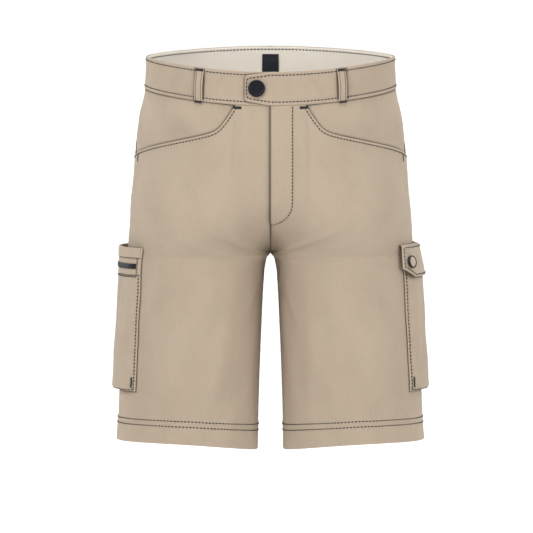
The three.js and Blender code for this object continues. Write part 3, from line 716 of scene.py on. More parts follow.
class Sewing:
    """Stitches and bar tacks gathered into one piece of thread."""

    def __init__(self):
        self.points = []
        self.faces = []
        self.count = 0

    def add(self, centres, normals, radius):
        points, sides, index = thread_tubes(centres, normals, radius)
        near, far = index[:, 0], index[:, -1]
        caps = [near[:, [3, 2, 1, 0]], near[:, [5, 4, 3, 0]], far[:, [0, 1, 2, 3]], far[:, [0, 3, 4, 5]]]
        self.points.append(points)
        self.faces.append(np.concatenate([sides, *caps]) + self.count)
        self.count += len(points)

    def row(self, cloth, u, level, pitch=STITCH_PITCH, length=STITCH_LENGTH, inside=False, radius=THREAD / 2):
        """A row of stitches along a line of places on a cloth's face or its inside."""
        place = cloth.place_inside if inside else cloth.place
        line = place(u, level)
        above = place(u, level, 1.0)
        run, middles = stitch_line(line, pitch)
        reach = np.linspace(-0.5, 0.5, STITCH_RINGS)
        wander = rng.normal(0, 0.05, len(middles))
        where = middles[:, None] + reach * length * (1 + rng.normal(0, 0.05, (len(middles), 1)))
        normals = line_at(run, above - line, where)
        normals /= np.linalg.norm(normals, axis=2, keepdims=True)
        bow = 0.5 * radius * np.cos(reach * math.pi) - 0.75 * radius * (np.abs(reach) * 2) ** 4
        centres = line_at(run, line, where) + normals * (bow + 0.15 * radius)[None, :, None]
        sideways = np.cross(normals, np.gradient(centres, axis=1))
        sideways /= np.linalg.norm(sideways, axis=2, keepdims=True)
        centres = centres + sideways * (wander[:, None] + 0.07 * reach)[..., None]
        self.add(centres, normals, radius)

    def tack(self, cloth, u, level, wide=2.8):
        """A bar tack along a short line of places: long threads under close ones that cross them."""
        line = cloth.place(u, level)
        above = cloth.place(u, level, 1.0)
        run = run_along(line)
        count = int(run[-1] / TACK_PITCH)
        middles = (np.arange(count) + 0.5) * run[-1] / count
        middle = line_at(run, line, middles)
        normal = line_at(run, above - line, middles)
        normal /= np.linalg.norm(normal, axis=1, keepdims=True)
        ahead = np.gradient(middle, axis=0)
        sideways = np.cross(normal, ahead)
        sideways /= np.linalg.norm(sideways, axis=1, keepdims=True)
        ahead /= np.linalg.norm(ahead, axis=1, keepdims=True)
        reach = np.linspace(-0.5, 0.5, STITCH_RINGS)
        bow = 0.55 * np.cos(reach * math.pi) - 0.1
        size = wide * (1 + rng.normal(0, 0.05, (count, 1, 1)))
        slant = TACK_PITCH * 0.4
        centres = (
            middle[:, None]
            + sideways[:, None] * reach[None, :, None] * size
            + ahead[:, None] * reach[None, :, None] * slant
            + normal[:, None] * bow[None, :, None]
        )
        normals = np.repeat(normal[:, None], STITCH_RINGS, axis=1)
        self.add(centres, normals, TACK_THREAD / 2)

    def piece(self, name, material):
        points, faces = np.concatenate(self.points), np.concatenate(self.faces)
        return mesh_object(name, points, faces, material)


def across_places(start, end, level):
    """Places across a panel at one level."""
    return np.linspace(start, end, PANEL_ROW_POINTS), np.full(PANEL_ROW_POINTS, float(level))


# Materials

def colour(red, green, blue):
    """A colour from its values on a screen, 0 to 255, as Blender's nodes take it."""
    screen = np.array([red, green, blue]) / 255
    light = np.where(screen <= 0.04045, screen / 12.92, ((screen + 0.055) / 1.055) ** 2.4)
    return (*light.tolist(), 1.0)


def add_node(tree, kind, inputs=None, **settings):
    made = tree.nodes.new("ShaderNode" + kind)
    for key, value in settings.items():
        setattr(made, key, value)
    for key, value in (inputs or {}).items():
        if isinstance(value, bpy.types.NodeSocket):
            tree.links.new(value, made.inputs[key])
        else:
            made.inputs[key].default_value = value
    return made


def maths(tree, operation, *values):
    return add_node(tree, "Math", dict(enumerate(values)), operation=operation).outputs[0]


def mix_colour(tree, share, first, second):
    """A mix of two colours, from the Mix node's own colour sockets."""
    made = tree.nodes.new("ShaderNodeMix")
    made.data_type = "RGBA"
    sockets = {s.identifier: s for s in made.inputs}
    for identifier, value in (("Factor_Float", share), ("A_Color", first), ("B_Color", second)):
        if isinstance(value, bpy.types.NodeSocket):
            tree.links.new(value, sockets[identifier])
        else:
            sockets[identifier].default_value = value
    return next(s for s in made.outputs if s.identifier == "Result_Color")


def new_group(name, inputs, outputs):
    """An empty node group with its named inputs, each a kind and a value, and its outputs."""
    group = bpy.data.node_groups.new(name, "ShaderNodeTree")
    for label, (kind, value) in inputs.items():
        group.interface.new_socket(name=label, in_out="INPUT", socket_type=kind).default_value = value
    for label, kind in outputs.items():
        group.interface.new_socket(name=label, in_out="OUTPUT", socket_type=kind)
    entry = group.nodes.new("NodeGroupInput").outputs
    leave = group.nodes.new("NodeGroupOutput").inputs
    return group, entry, leave


FLOAT, COLOUR = "NodeSocketFloat", "NodeSocketColor"


def grain_vector(tree, across, along):
    """The cloth's grain map stretched by a number of repeats in a metre each way."""
    grain = add_node(tree, "UVMap", uv_map="grain").outputs["UV"]
    made = add_node(tree, "VectorMath", {0: grain}, operation="MULTIPLY")
    made.inputs[1].default_value = (across, along, 1)
    return made.outputs["Vector"]


def grain_noise(tree, across, along, detail=2.0):
    """Noise over the grain map, with a number of repeats in a metre each way."""
    inputs = {"Vector": grain_vector(tree, across, along), "Scale": 1.0, "Detail": detail}
    return add_node(tree, "TexNoise", inputs).outputs["Fac"]


def wave_along(tree, direction, per_metre, wobble=None):
    """A wave from 0 to 1 along a direction of the grain map."""
    grain = add_node(tree, "UVMap", uv_map="grain").outputs["UV"]
    dot = add_node(tree, "VectorMath", {0: grain}, operation="DOT_PRODUCT")
    dot.inputs[1].default_value = (*direction, 0)
    turn = maths(tree, "MULTIPLY", dot.outputs["Value"], per_metre)
    if wobble is not None:
        turn = maths(tree, "ADD", turn, wobble)
    sine = maths(tree, "SINE", maths(tree, "MULTIPLY", turn, 2 * math.pi))
    return maths(tree, "MULTIPLY_ADD", sine, 0.5, 0.5)


TWILL_LEAN = (1.0, -0.52)  # the ribs rise to the right
TWILL_WEFT = (0.45, 1.0)
WEFT_PER_RIB = 1.3
# Repeats in a metre across and along the cloth
BOW_GRAIN = (90, 40)  # the ribs run a little crooked
YARN_GRAIN = (1500, 70)
FILLING_GRAIN = (60, 1300)
NAP_GRAIN = (5200, 4300)
CLOUD_GRAIN = (21, 13)
WEAR_GRAIN = (160, 160)


def make_weave():
    """Woven cloth: diagonal ribs of twill or a plain weave, with uneven yarns and a short nap."""
    group, entry, leave = new_group(
        "woven_cloth",
        {
            "Yarn": (COLOUR, (0.5, 0.4, 0.3, 1)),
            "Shadow": (COLOUR, (0.4, 0.3, 0.2, 1)),
            "Ribs per metre": (FLOAT, 1050),
            "Diagonal": (FLOAT, 1),
            "Slub": (FLOAT, 0.5),
            "Nap": (FLOAT, 0.2),
            "Roughness": (FLOAT, 0.86),
        },
        {"Color": COLOUR, "Roughness": FLOAT, "Height": FLOAT},
    )
    wobble = maths(group, "MULTIPLY", grain_noise(group, *BOW_GRAIN), 1.4)
    ribs = entry["Ribs per metre"]
    rib = wave_along(group, TWILL_LEAN, ribs, wobble)
    weft = wave_along(group, TWILL_WEFT, maths(group, "MULTIPLY", ribs, WEFT_PER_RIB), wobble)
    crossed = maths(group, "MULTIPLY", rib, weft)
    twill = maths(group, "MULTIPLY_ADD", crossed, 0.45, maths(group, "MULTIPLY", rib, 0.55))
    warp = wave_along(group, (1.0, 0.0), ribs)
    filling = wave_along(group, (0.0, 1.0), ribs)
    plain = maths(group, "ABSOLUTE", maths(group, "SUBTRACT", warp, filling))
    other = maths(group, "MULTIPLY", plain, maths(group, "SUBTRACT", 1.0, entry["Diagonal"]))
    surface = maths(group, "MULTIPLY_ADD", twill, entry["Diagonal"], other)
    thick = maths(group, "MULTIPLY", grain_noise(group, *FILLING_GRAIN), 0.6)
    uneven = maths(group, "SUBTRACT", maths(group, "ADD", grain_noise(group, *YARN_GRAIN), thick), 0.8)
    slub = maths(group, "MULTIPLY", uneven, entry["Slub"])
    raised = maths(group, "MULTIPLY_ADD", slub, 0.6, surface)
    raised = maths(group, "MULTIPLY_ADD", grain_noise(group, *NAP_GRAIN, 3.0), entry["Nap"], raised)
    group.links.new(raised, leave["Height"])
    cloudy = maths(group, "MULTIPLY_ADD", grain_noise(group, *CLOUD_GRAIN, 3.0), 0.5, -0.05)
    share = maths(group, "ADD", maths(group, "MULTIPLY_ADD", surface, 0.62, slub), cloudy)
    shade = add_node(group, "Clamp", {"Value": share}).outputs[0]
    group.links.new(mix_colour(group, shade, entry["Shadow"], entry["Yarn"]), leave["Color"])
    rough = maths(group, "MULTIPLY_ADD", maths(group, "SUBTRACT", 1.0, surface), 0.08, entry["Roughness"])
    group.links.new(rough, leave["Roughness"])
    return group


def make_wear_and_shade():
    """Cloth rubbed lighter on its edges, with painted shade darker down in its seams and stitched rows and
    beside what lies on it.
    """
    group, entry, leave = new_group(
        "wear_and_seam_shade",
        {"Color": (COLOUR, (0.5, 0.4, 0.3, 1)), "Rubbed": (FLOAT, 0.1), "Painted shade": (FLOAT, 0.3)},
        {"Color": COLOUR},
    )
    wear_and_shade = add_node(group, "Attribute", attribute_name="wear_and_shade").outputs["Fac"]
    patchy = grain_noise(group, *WEAR_GRAIN, 3.0)
    up = maths(group, "MULTIPLY", maths(group, "MAXIMUM", wear_and_shade, 0.0), patchy)
    rubbed = maths(group, "MULTIPLY", up, maths(group, "MULTIPLY", entry["Rubbed"], 2.0))
    # Painted shade: the low side of the attribute darkens the colour.
    low = maths(group, "MAXIMUM", maths(group, "MULTIPLY", wear_and_shade, -1.0), 0.0)
    settled = maths(group, "MULTIPLY", low, entry["Painted shade"])
    bright = maths(group, "SUBTRACT", maths(group, "ADD", 1.0, rubbed), settled)
    scaled = add_node(group, "VectorMath", {0: entry["Color"]}, operation="SCALE")
    group.links.new(bright, scaled.inputs["Scale"])
    group.links.new(scaled.outputs["Vector"], leave["Color"])
    return group


def new_material(name):
    material = bpy.data.materials.new(name)
    material.use_nodes = True
    tree = material.node_tree
    return material, tree, tree.nodes["Principled BSDF"]


def place_group(tree, group, values):
    """A node group placed in a material, with its own values."""
    made = tree.nodes.new("ShaderNodeGroup")
    made.node_tree = group
    for label, value in values.items():
        made.inputs[label].default_value = value
    return made


def woven(name, yarn, shadow, ribs, diagonal, slub, nap, rough, bump, sheen):
    """A cloth from the weave and wear groups, with its own colours, scale and sheen."""
    material, tree, surface = new_material(name)
    values = {
        "Yarn": yarn,
        "Shadow": shadow,
        "Ribs per metre": ribs,
        "Diagonal": diagonal,
        "Slub": slub,
        "Nap": nap,
        "Roughness": rough,
    }
    weave = place_group(tree, WEAVE, values)
    wear_and_shade = place_group(tree, WEAR_AND_SHADE, {"Rubbed": 0.1, "Painted shade": 0.72})
    tree.links.new(weave.outputs["Color"], wear_and_shade.inputs["Color"])
    tree.links.new(wear_and_shade.outputs["Color"], surface.inputs["Base Color"])
    tree.links.new(weave.outputs["Roughness"], surface.inputs["Roughness"])
    raised = add_node(tree, "Bump", {"Strength": bump, "Distance": 0.0004, "Height": weave.outputs["Height"]})
    tree.links.new(raised.outputs["Normal"], surface.inputs["Normal"])
    surface.inputs["Specular IOR Level"].default_value = 0.22
    surface.inputs["Sheen Weight"].default_value = sheen
    surface.inputs["Sheen Roughness"].default_value = 0.45
    return material


def thread_material():
    """Dark twisted sewing thread."""
    material, tree, surface = new_material("dark_thread")
    place = add_node(tree, "TexCoord").outputs["Object"]
    fibre = add_node(tree, "TexNoise", {"Vector": place, "Scale": 2600.0, "Detail": 3.0})
    wave = {"Vector": place, "Scale": 620.0, "Distortion": 3.0}
    ply = add_node(tree, "TexWave", wave, bands_direction="DIAGONAL")
    tint = mix_colour(tree, fibre.outputs["Fac"], colour(12, 12, 14), colour(34, 34, 38))
    tree.links.new(tint, surface.inputs["Base Color"])
    twist = maths(tree, "MULTIPLY_ADD", fibre.outputs["Fac"], 0.4, ply.outputs["Fac"])
    raised = add_node(tree, "Bump", {"Strength": 0.4, "Distance": 0.0002, "Height": twist})
    tree.links.new(raised.outputs["Normal"], surface.inputs["Normal"])
    rough = maths(tree, "MULTIPLY_ADD", fibre.outputs["Fac"], 0.2, 0.5)
    tree.links.new(rough, surface.inputs["Roughness"])
    surface.inputs["Sheen Weight"].default_value = 0.15
    return material


def button_material(name, base, cloud, rough, coat, grain_scale):
    """Moulded or enamelled surface: faint clouds, fine grain and small scuffs."""
    material, tree, surface = new_material(name)
    place = add_node(tree, "TexCoord").outputs["Object"]
    clouds = add_node(tree, "TexNoise", {"Vector": place, "Scale": 260.0, "Detail": 5.0, "Distortion": 0.8})
    grain = add_node(tree, "TexNoise", {"Vector": place, "Scale": grain_scale, "Detail": 4.0})
    spread = maths(tree, "MULTIPLY_ADD", clouds.outputs["Fac"], 2.2, -0.6)
    share = add_node(tree, "Clamp", {"Value": spread}).outputs[0]
    tree.links.new(mix_colour(tree, share, base, cloud), surface.inputs["Base Color"])
    scuffs = maths(tree, "MULTIPLY_ADD", grain.outputs["Fac"], 0.25, rough - 0.1)
    tree.links.new(scuffs, surface.inputs["Roughness"])
    raised = add_node(tree, "Bump", {"Strength": 0.12, "Distance": 0.0002, "Height": grain.outputs["Fac"]})
    tree.links.new(raised.outputs["Normal"], surface.inputs["Normal"])
    surface.inputs["Specular IOR Level"].default_value = 0.2
    surface.inputs["Coat Weight"].default_value = coat
    surface.inputs["Coat Roughness"].default_value = 0.25
    return material


WEAVE = make_weave()
WEAR_AND_SHADE = make_wear_and_shade()
TWILL = woven(
    "sand_twill", colour(199, 182, 161), colour(167, 150, 130),
    ribs=1050, diagonal=1, slub=0.42, nap=0.3, rough=0.84, bump=0.5, sheen=0.12,
)
LINING = woven(
    "light_lining", colour(253, 247, 236), colour(236, 228, 214),
    ribs=1500, diagonal=0, slub=0.3, nap=0.15, rough=0.8, bump=0.3, sheen=0.1,
)
LABEL_WEAVE = woven(
    "dark_label", colour(44, 47, 58), colour(22, 25, 33),
    ribs=2300, diagonal=0, slub=0.2, nap=0.05, rough=0.6, bump=0.3, sheen=0.15,
)
WEBBING = woven(
    "dark_webbing", colour(38, 41, 52), colour(19, 21, 28),
    ribs=1300, diagonal=0, slub=0.4, nap=0.2, rough=0.66, bump=0.7, sheen=0.15,
)
DARK_THREAD = thread_material()
BUTTON_FACE = button_material(
    "navy_button", colour(12, 13, 19), colour(25, 28, 37), rough=0.42, coat=0.0, grain_scale=1500.0
)
SNAP_FACE = button_material(
    "sand_snap", colour(176, 160, 141), colour(190, 174, 154), rough=0.42, coat=0.15, grain_scale=2100.0
)
# The snap's ring: a real part, made dark enough to be the painted shadow of the gap round the cap's rim as
# well.
SNAP_RING_AND_GAP_SHADOW = button_material(
    "dark_ring_and_gap_shadow", colour(34, 34, 38), colour(52, 51, 54), rough=0.4, coat=0.1, grain_scale=1900.0
)


def dress(piece, slot, *nodes):
    """The piece rides on the shorts and stands for its CAD nodes. Its slot is not used."""
    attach(piece, "root")
    if nodes:
        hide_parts(*nodes)
    return piece


SIDES = {"right": -1, "left": 1}
HALF_SEAM = SEAM / 2
BUTTED = 0.02  # panels sewn edge to edge meet this close to their seam
FLY_LAP = 0.5  # the left front runs this far past the centre front, over the right
FAR = 99.0  # past the reach of any relief
PANEL_TOP = BAND_BOTTOM - HALF_SEAM
BAND_FOOT = BAND_BOTTOM + HALF_SEAM
BAND_INSIDE = BAND_PROUD - BAND_THICK
LINING_FACE = BAND_INSIDE - SEAM
LINING_BELOW_TOP = 0.8
LINING_STEP = 3.0
LINING_TOP = BAND_TOP - LINING_BELOW_TOP
MOUTH_ARC = float(arc(MOUTH_LEVEL, True))
MOUTH_START_U = MOUTH_START / (2 * MOUTH_ARC)


# Hand pocket mouths

def mouth_line(u):
    """Height of the pocket mouth and its slope, the higher of two lines with a round corner."""
    past = 2 * u * MOUTH_ARC - MOUTH_CORNER_ALONG
    steep = MOUTH_CORNER_Z - MOUTH_STEEP * past
    shallow = MOUTH_CORNER_Z - MOUTH_SHALLOW * past
    gap = np.hypot(steep - shallow, MOUTH_ROUND)
    slope = (MOUTH_STEEP + MOUTH_SHALLOW + (steep - shallow) * (MOUTH_STEEP - MOUTH_SHALLOW) / gap) / 2
    return (steep + shallow + gap) / 2, slope


def below_mouth(u, level):
    """Distance below the pocket mouth, square to it. It is negative above the mouth."""
    mouth_z, slope = mouth_line(u)
    return (mouth_z - height(u, level)) / np.hypot(1, slope)


def front_top(u):
    """Level of the front panel's upper edge: the waist seam, then the pocket mouth."""
    mouth = np.minimum(PANEL_TOP, level_at(u, mouth_line(u)[0]))
    return np.where(u <= MOUTH_START_U, PANEL_TOP, mouth)


# Trouser panels

def pocket_shade(side):
    """The leg's painted shadow just outside the pocket that is sewn on it."""
    pocket = LEG_POCKETS[side]

    def shade(u, level):
        past = np.maximum(np.abs(from_side(u, level)) - pocket_half(pocket, level), pocket["bottom"] - level)
        return 0.8 * beside(past, 1.6) * smooth(level, pocket["top"] + 0.5, pocket["top"] - 1)

    return shade


def pocket_marks(side, front):
    """Where a pocket's edge runs down a panel, as distances round it from the side seam."""
    pocket = LEG_POCKETS[side]
    way = -1 if front else 1
    reach = float(arc(MOUTH_LEVEL, front))
    ends = [(pocket["half"], pocket["top"]), (pocket["foot"], pocket["bottom"])]
    high, low = (float(2 * reach * (u_from_side(way * half, level) - 0.5)) for half, level in ends)
    return np.linspace(high, low, 12).tolist()


def hem_relief(u, level, run, seed):
    """The hem: doubled cloth between its fold and its two rows of stitches."""
    up = level - HEM_LEVEL
    doubled = 0.35 * (1 - smooth(up, HEM_ROWS[1], HEM_ROWS[1] + 4))
    rows = sum(groove(up - row, 0.3, 0.75) for row in HEM_ROWS)
    drawn = hump(up - HEM_PUCKER_UP, 0.3, 11) * ripple(run + 0.35 * up, 12.5, seed)
    edge = hump(up, 0.28, 9) * ripple(run, 23, seed + 1)
    return doubled + rows + drawn + edge


def wall_inside(u, level):
    up = level - HEM_LEVEL
    return -CLOTH_THICK - (HEM_THICK - CLOTH_THICK) * (1 - smooth(up, HEM_DEPTH - 0.8, HEM_DEPTH + 0.3))


def fly_line(z):
    """How far the fly's stitching lies from the centre front at a height."""
    down = np.clip((FLY_FOOT + FLY_BEND - z) / FLY_BEND, 0, 1)
    return FLY_STITCH * np.sqrt(np.clip(1 - down**2, 0, 1))


def fly_lap(front, z, level):
    """The relief of the fly on the left front: a second layer up to its stitching, which draws it in."""
    bend = fly_line(z)
    layer = 0.75 * (1 - smooth(front, bend - 1.2, bend + 1.6))
    edges = groove(front - bend, 0.4, 0.85) + hump(front, 0.5, 4)
    drawn = hump(front - bend, 0.24, 7) * ripple(level, 10, 37)
    return layer + edges + drawn + hump(front, 0.3, 10) * ripple(level, 31, 39)


def front_relief(side):
    def relief(u, level):
        run = from_side(u, level)
        front = 2 * u * arc(level, True)
        z = height(u, level)
        lift = hem_relief(u, level, run, 5 + side) + plain_seam(-run, level, 11 + side)
        lift = lift + waist_pucker(level, run, 0.16, 13, 17 + side) * (u < MOUTH_START_U + 0.02)
        mouth = below_mouth(u, level)
        mouth = np.where(u < MOUTH_START_U - 0.01, FAR, mouth)
        lift = lift + sewn_edge(mouth, run - z, 23 + side, MOUTH_STITCH_IN) * smooth(mouth, -3, -1)
        below_fly = smooth(z, FLY_FOOT + 4, FLY_FOOT - 6)
        lift = lift + centre_seam(front, level, 31) * below_fly
        fly = 1 - below_fly
        return lift + fly * (fly_lap(front, z, level) if side > 0 else groove(front, 1, 5))

    return relief


def lap_inside(u, level):
    """The left front's inside, which climbs over the right front's edge beside the fly."""
    front = 2 * u * arc(level, True)
    fly = smooth(height(u, level), FLY_FOOT - 6, FLY_FOOT + 4)
    return wall_inside(u, level) + fly * hump(front, 1.35, 6)


FRONT = {
    -1: Cloth(-1, zero, wall_inside, front_relief(-1), pocket_shade(-1)),
    1: Cloth(1, zero, lap_inside, front_relief(1), pocket_shade(1)),
}


def back_relief(side):
    def relief(u, level):
        run = from_side(u, level)
        lift = hem_relief(u, level, run, 41 + side) + plain_seam(run, level, 43 + side)
        centre = 2 * (1 - u) * arc(level, False)
        lift = lift + centre_seam(centre, level, 47)
        return lift + waist_pucker(level, run, 0.2, 14, 53 + side)

    return relief


BACK = {side: Cloth(side, zero, wall_inside, back_relief(side), pocket_shade(side)) for side in (-1, 1)}

OFFSET_ROWS = 14.0  # the rows follow the mouth this far down
SQUEEZED_TO = -178.0


def low_rows():
    marks = [HEM_LEVEL, HEM_LEVEL + HEM_DEPTH, TOOL_POCKET["bottom"] - 1, CROTCH_LEVEL - 2]
    marks = marks + [HEM_LEVEL + row for row in HEM_ROWS]
    return graded(HEM_LEVEL, SQUEEZED_TO, marks, coarse=3.0)[::-1]


def front_grid(side):
    marks = [0, FLY_STITCH, MOUTH_ARC] + [MOUTH_ARC + mark for mark in pocket_marks(side, True)]
    along = graded(BUTTED, MOUTH_ARC - BUTTED, marks, reach=2.4, coarse=3.0)
    u = 0.5 * along / MOUTH_ARC
    top = front_top(u)
    slope = mouth_line(u)[1]
    steepness = lerp(1.0, np.hypot(1, slope), smooth(u, MOUTH_START_U - 0.006, MOUTH_START_U + 0.006))
    offsets = graded(0, OFFSET_ROWS, [0, MOUTH_STITCH_IN], coarse=2.0)
    near = top[:, None] - offsets[None, :] * steepness[:, None]
    shares = np.linspace(0, 1, 40)[1:-1]
    middle = lerp(near[:, -1:], SQUEEZED_TO, shares[None, :])
    low = np.repeat(low_rows()[None, :], len(u), axis=0)
    level = np.concatenate([near, middle, low], axis=1)
    u = np.repeat(u[:, None], level.shape[1], axis=1)
    if side > 0:
        lap = FLY_LAP * smooth(height(u, level), FLY_FOOT - 2, FLY_FOOT + 6)
        u = u - 0.5 * lap / MOUTH_ARC * (1 - smooth(u * 2 * MOUTH_ARC, 0, 6))
    return u, level


def back_grid(side):
    reach = float(arc(MOUTH_LEVEL, False))
    along = graded(BUTTED, reach - BUTTED, [0, reach, *pocket_marks(side, False)], reach=2.4, coarse=3.0)
    u = 0.5 + 0.5 * along / reach
    top = graded(SQUEEZED_TO, PANEL_TOP, [PANEL_TOP], coarse=3.2)[:0:-1]
    return np.meshgrid(u, np.concatenate([top, low_rows()]), indexing="ij")


# Side pieces behind the hand pockets

def facing_face(u, level):
    above = -below_mouth(u, level)
    return -FACING_DROP - 0.4 + 1.8 * smooth(above, 4, 24)


def facing_relief(side):
    def relief(u, level):
        run = from_side(u, level)
        waist = waist_pucker(level, run, 0.14, 12, 59 + side)
        soft = 0.25 * np.sin(run / 17 + side) * np.sin(level / 13) * smooth(-below_mouth(u, level), 0, 10)
        return plain_seam(-run, level, 61 + side) + waist + soft

    return relief


# Painted shadow on the facing along the pocket mouth and under the front's edge, fading above it.
def facing_shade(u, level):
    return beside(-below_mouth(u, level), 2.2)


def facing_inside(u, level):
    return facing_face(u, level) - CLOTH_THICK


FACING = {
    side: Cloth(side, facing_face, facing_inside, facing_relief(side), facing_shade) for side in (-1, 1)
}


def facing_grid():
    first = MOUTH_START - FACING_LEAD
    along = graded(first, MOUTH_ARC - BUTTED, [MOUTH_ARC], coarse=2.6)
    u = 0.5 * along / MOUTH_ARC
    seam_z = height(u, np.full(u.shape, PANEL_TOP))
    mouth_z = np.minimum(mouth_line(u)[0], seam_z)
    near = level_at(u, np.minimum(mouth_z + 9, seam_z))[:, None]
    mouth = level_at(u, mouth_z)[:, None]
    foot = level_at(u, mouth_z - MOUTH_UNDERLAP)[:, None]
    parts = [
        lerp(PANEL_TOP, near, np.linspace(0, 1, 24)[None, :-1]),
        lerp(near, mouth, np.linspace(0, 1, 16)[None, :-1] ** 0.7),
        lerp(mouth, foot, np.linspace(0, 1, 8)[None, :]),
    ]
    level = np.concatenate(parts, axis=1)
    # Where the mouth meets the waist seam its rows would coincide, so each keeps a little apart.
    level = np.minimum.accumulate(level - 0.02 * np.arange(level.shape[1]), axis=1)
    return np.repeat(u[:, None], level.shape[1], axis=1), level


def make_panels():
    for name, side in SIDES.items():
        u, level = front_grid(side)
        piece = FRONT[side].wall("cloth_front_" + name, u, level, TWILL, "top foot")
        dress(piece, "twill", "front_panel_" + name)
        u, level = back_grid(side)
        piece = BACK[side].wall("cloth_back_" + name, u, level, TWILL, "foot")
        dress(piece, "twill", "back_panel_" + name)
        u, level = facing_grid()
        piece = FACING[side].wall("cloth_hand_pocket_" + name, u, level, TWILL)
        dress(piece, "twill", "hand_pocket_facing_" + name)


# Waistband

BAND_ARC = float(arc(0.0, True))
BAND_BACK_ARC = float(arc(0.0, False))
HALF_BAND = BAND_ARC + BAND_BACK_ARC
BAND_ROWS = (STITCH_IN, BAND_TOP - BAND_FOOT - STITCH_IN)  # down from its top
LINING_ROWS = (BAND_FOOT + STITCH_IN, LINING_TOP - STITCH_IN + LINING_BELOW_TOP)  # levels


def band_u(along):
    """u at a distance round the band from the centre front."""
    return np.where(along < BAND_ARC, 0.5 * along / BAND_ARC, 0.5 + 0.5 * (along - BAND_ARC) / BAND_BACK_ARC)


def band_along(u):
    return np.where(u < 0.5, 2 * u * BAND_ARC, BAND_ARC + 2 * (u - 0.5) * BAND_BACK_ARC)


def tab_edge(along):
    """How far the tab's edge lies inside the band's at a distance past the centre front."""
    past = np.maximum(0, -along)
    slant = TAB_TAPER * np.minimum(1, past / (TAB_LENGTH - TAB_CORNER))
    into = np.maximum(0, TAB_CORNER - (TAB_LENGTH - past))
    return slant + TAB_CORNER - np.sqrt(np.maximum(0, TAB_CORNER**2 - into**2))


def tab_lift(along):
    return TAB_LIFT * np.where(along <= 0, 1, 1 - smooth(along, 0, TAB_RAMP))


def band_relief(side):
    def relief(u, level):
        along = band_along(u)
        inset = tab_edge(along) if side > 0 else 0
        top = BAND_TOP - inset - level
        foot = level - BAND_FOOT - inset
        lift = sewn_edge(top, along, 67 + side) + sewn_edge(foot, along, 71 + side)
        belly = smooth(top, 6, 14) * smooth(foot, 6, 14)
        lift = lift + 0.22 * belly * ripple(along + level * 0.6, 33, 73 + side)
        lift = lift + plain_seam(HALF_BAND - along, level, 79, 0.1)
        if side > 0:
            end = along + TAB_LENGTH
            lift = lift + sewn_edge(end, level, 83, TAB_STITCH_IN, 0.12) * (along < 0)
            lift = lift + dent(np.hypot(along - WAIST_BUTTON_ALONG, level), *WAIST_BUTTON_DENT)
        return lift

    return relief


def beside_loops(side, u, level):
    """The band's painted shadows down both sides of its belt loops."""
    dark = zero(u, level)
    for loop_side, middle in LOOPS.values():
        if loop_side == side or middle == CENTRE_BACK:
            outward = 0 if middle == CENTRE_BACK else LOOP_SHADOW * (1 if middle < 0.5 else -1)
            past = np.abs(band_along(u) - band_along(middle) - outward) - LOOP_WIDTH / 2 - abs(outward)
            dark = np.maximum(dark, 0.8 * beside(past, 1.4))
    return dark


def loop_marks(side):
    """Where the edges of the belt loops lie along the band."""
    here = [u for loop_side, u in LOOPS.values() if loop_side == side or u == CENTRE_BACK]
    middles = [float(band_along(u)) for u in here]
    return [middle + end * LOOP_WIDTH / 2 for middle in middles for end in (-1, 1)]


def under_tab(u, level):
    """The right band's painted shadow round the tab that lies over it."""
    along = band_along(u)
    edge = tab_edge(-np.minimum(along, TAB_LENGTH))
    past = np.maximum(edge - (BAND_TOP - level), edge - (level - BAND_FOOT))
    return 0.85 * beside(np.maximum(along - TAB_LENGTH, past), 1.7) * (along < TAB_LENGTH + 8)


def band_cloth(side):
    """Half of the waistband. The left half runs on as the tab, which lies over the right half."""
    def lift(u, level):
        return tab_lift(band_along(u)) if side > 0 else zero(u, level)

    def shade(u, level):
        loops = beside_loops(side, u, level)
        return loops if side > 0 else np.maximum(under_tab(u, level), loops)

    def face(u, level):
        return BAND_PROUD + lift(u, level)

    def inside(u, level):
        return BAND_INSIDE + lift(u, level)

    return Cloth(side, face, inside, band_relief(side), shade)


BAND = {side: band_cloth(side) for side in (-1, 1)}


def lining_relief(u, level):
    along = band_along(np.where(u > 1, 2 - u, u))
    top = LINING_TOP - level
    foot = level - BAND_FOOT
    lift = sewn_edge(top + LINING_BELOW_TOP, along, 89) + sewn_edge(foot, along, 97)
    return -0.8 * lift - 0.15 * ripple(along, 29, 101) * smooth(top, 5, 12) * smooth(foot, 5, 12)


def lining_face(u, level):
    return zero(u, level) + LINING_FACE


def lining_inside(u, level):
    return lining_face(u, level) - LINING_THICK + lining_relief(u, level)


def band_grid(first, marks, edge=None):
    """Places of the band from a distance past the centre front to the centre back."""
    last = HALF_BAND - HALF_SEAM
    along = graded(first, last, [last, *marks])
    inset = np.zeros(along.shape) if edge is None else edge(along)
    rows = graded(0, BAND_TOP - BAND_FOOT, [0, *BAND_ROWS, BAND_TOP - BAND_FOOT], coarse=2.6)
    share = rows / rows[-1]
    top = (BAND_TOP - inset)[:, None]
    foot = (BAND_FOOT + inset)[:, None]
    return band_u(along)[:, None] + 0 * share[None, :], lerp(top, foot, share[None, :])


def make_waistband():
    u, level = band_grid(HALF_SEAM, [0, TAB_RAMP, TAB_LENGTH, TAB_LENGTH + 2, *loop_marks(-1)])
    piece = BAND[-1].wall("cloth_band_right", u, level, TWILL, "start top foot", turn_grain=True)
    dress(piece, "twill", "waistband_right")
    corner = -TAB_LENGTH + TAB_CORNER * (1 - np.cos(np.linspace(0, math.pi / 2, 8)))
    marks = [-TAB_LENGTH, *corner, -TAB_LENGTH + TAB_STITCH_IN, 0, *loop_marks(1)]
    u, level = band_grid(-TAB_LENGTH, marks, tab_edge)
    piece = BAND[1].wall("cloth_band_left", u, level, TWILL, "start top foot", turn_grain=True)
    dress(piece, "twill", "waistband_left")


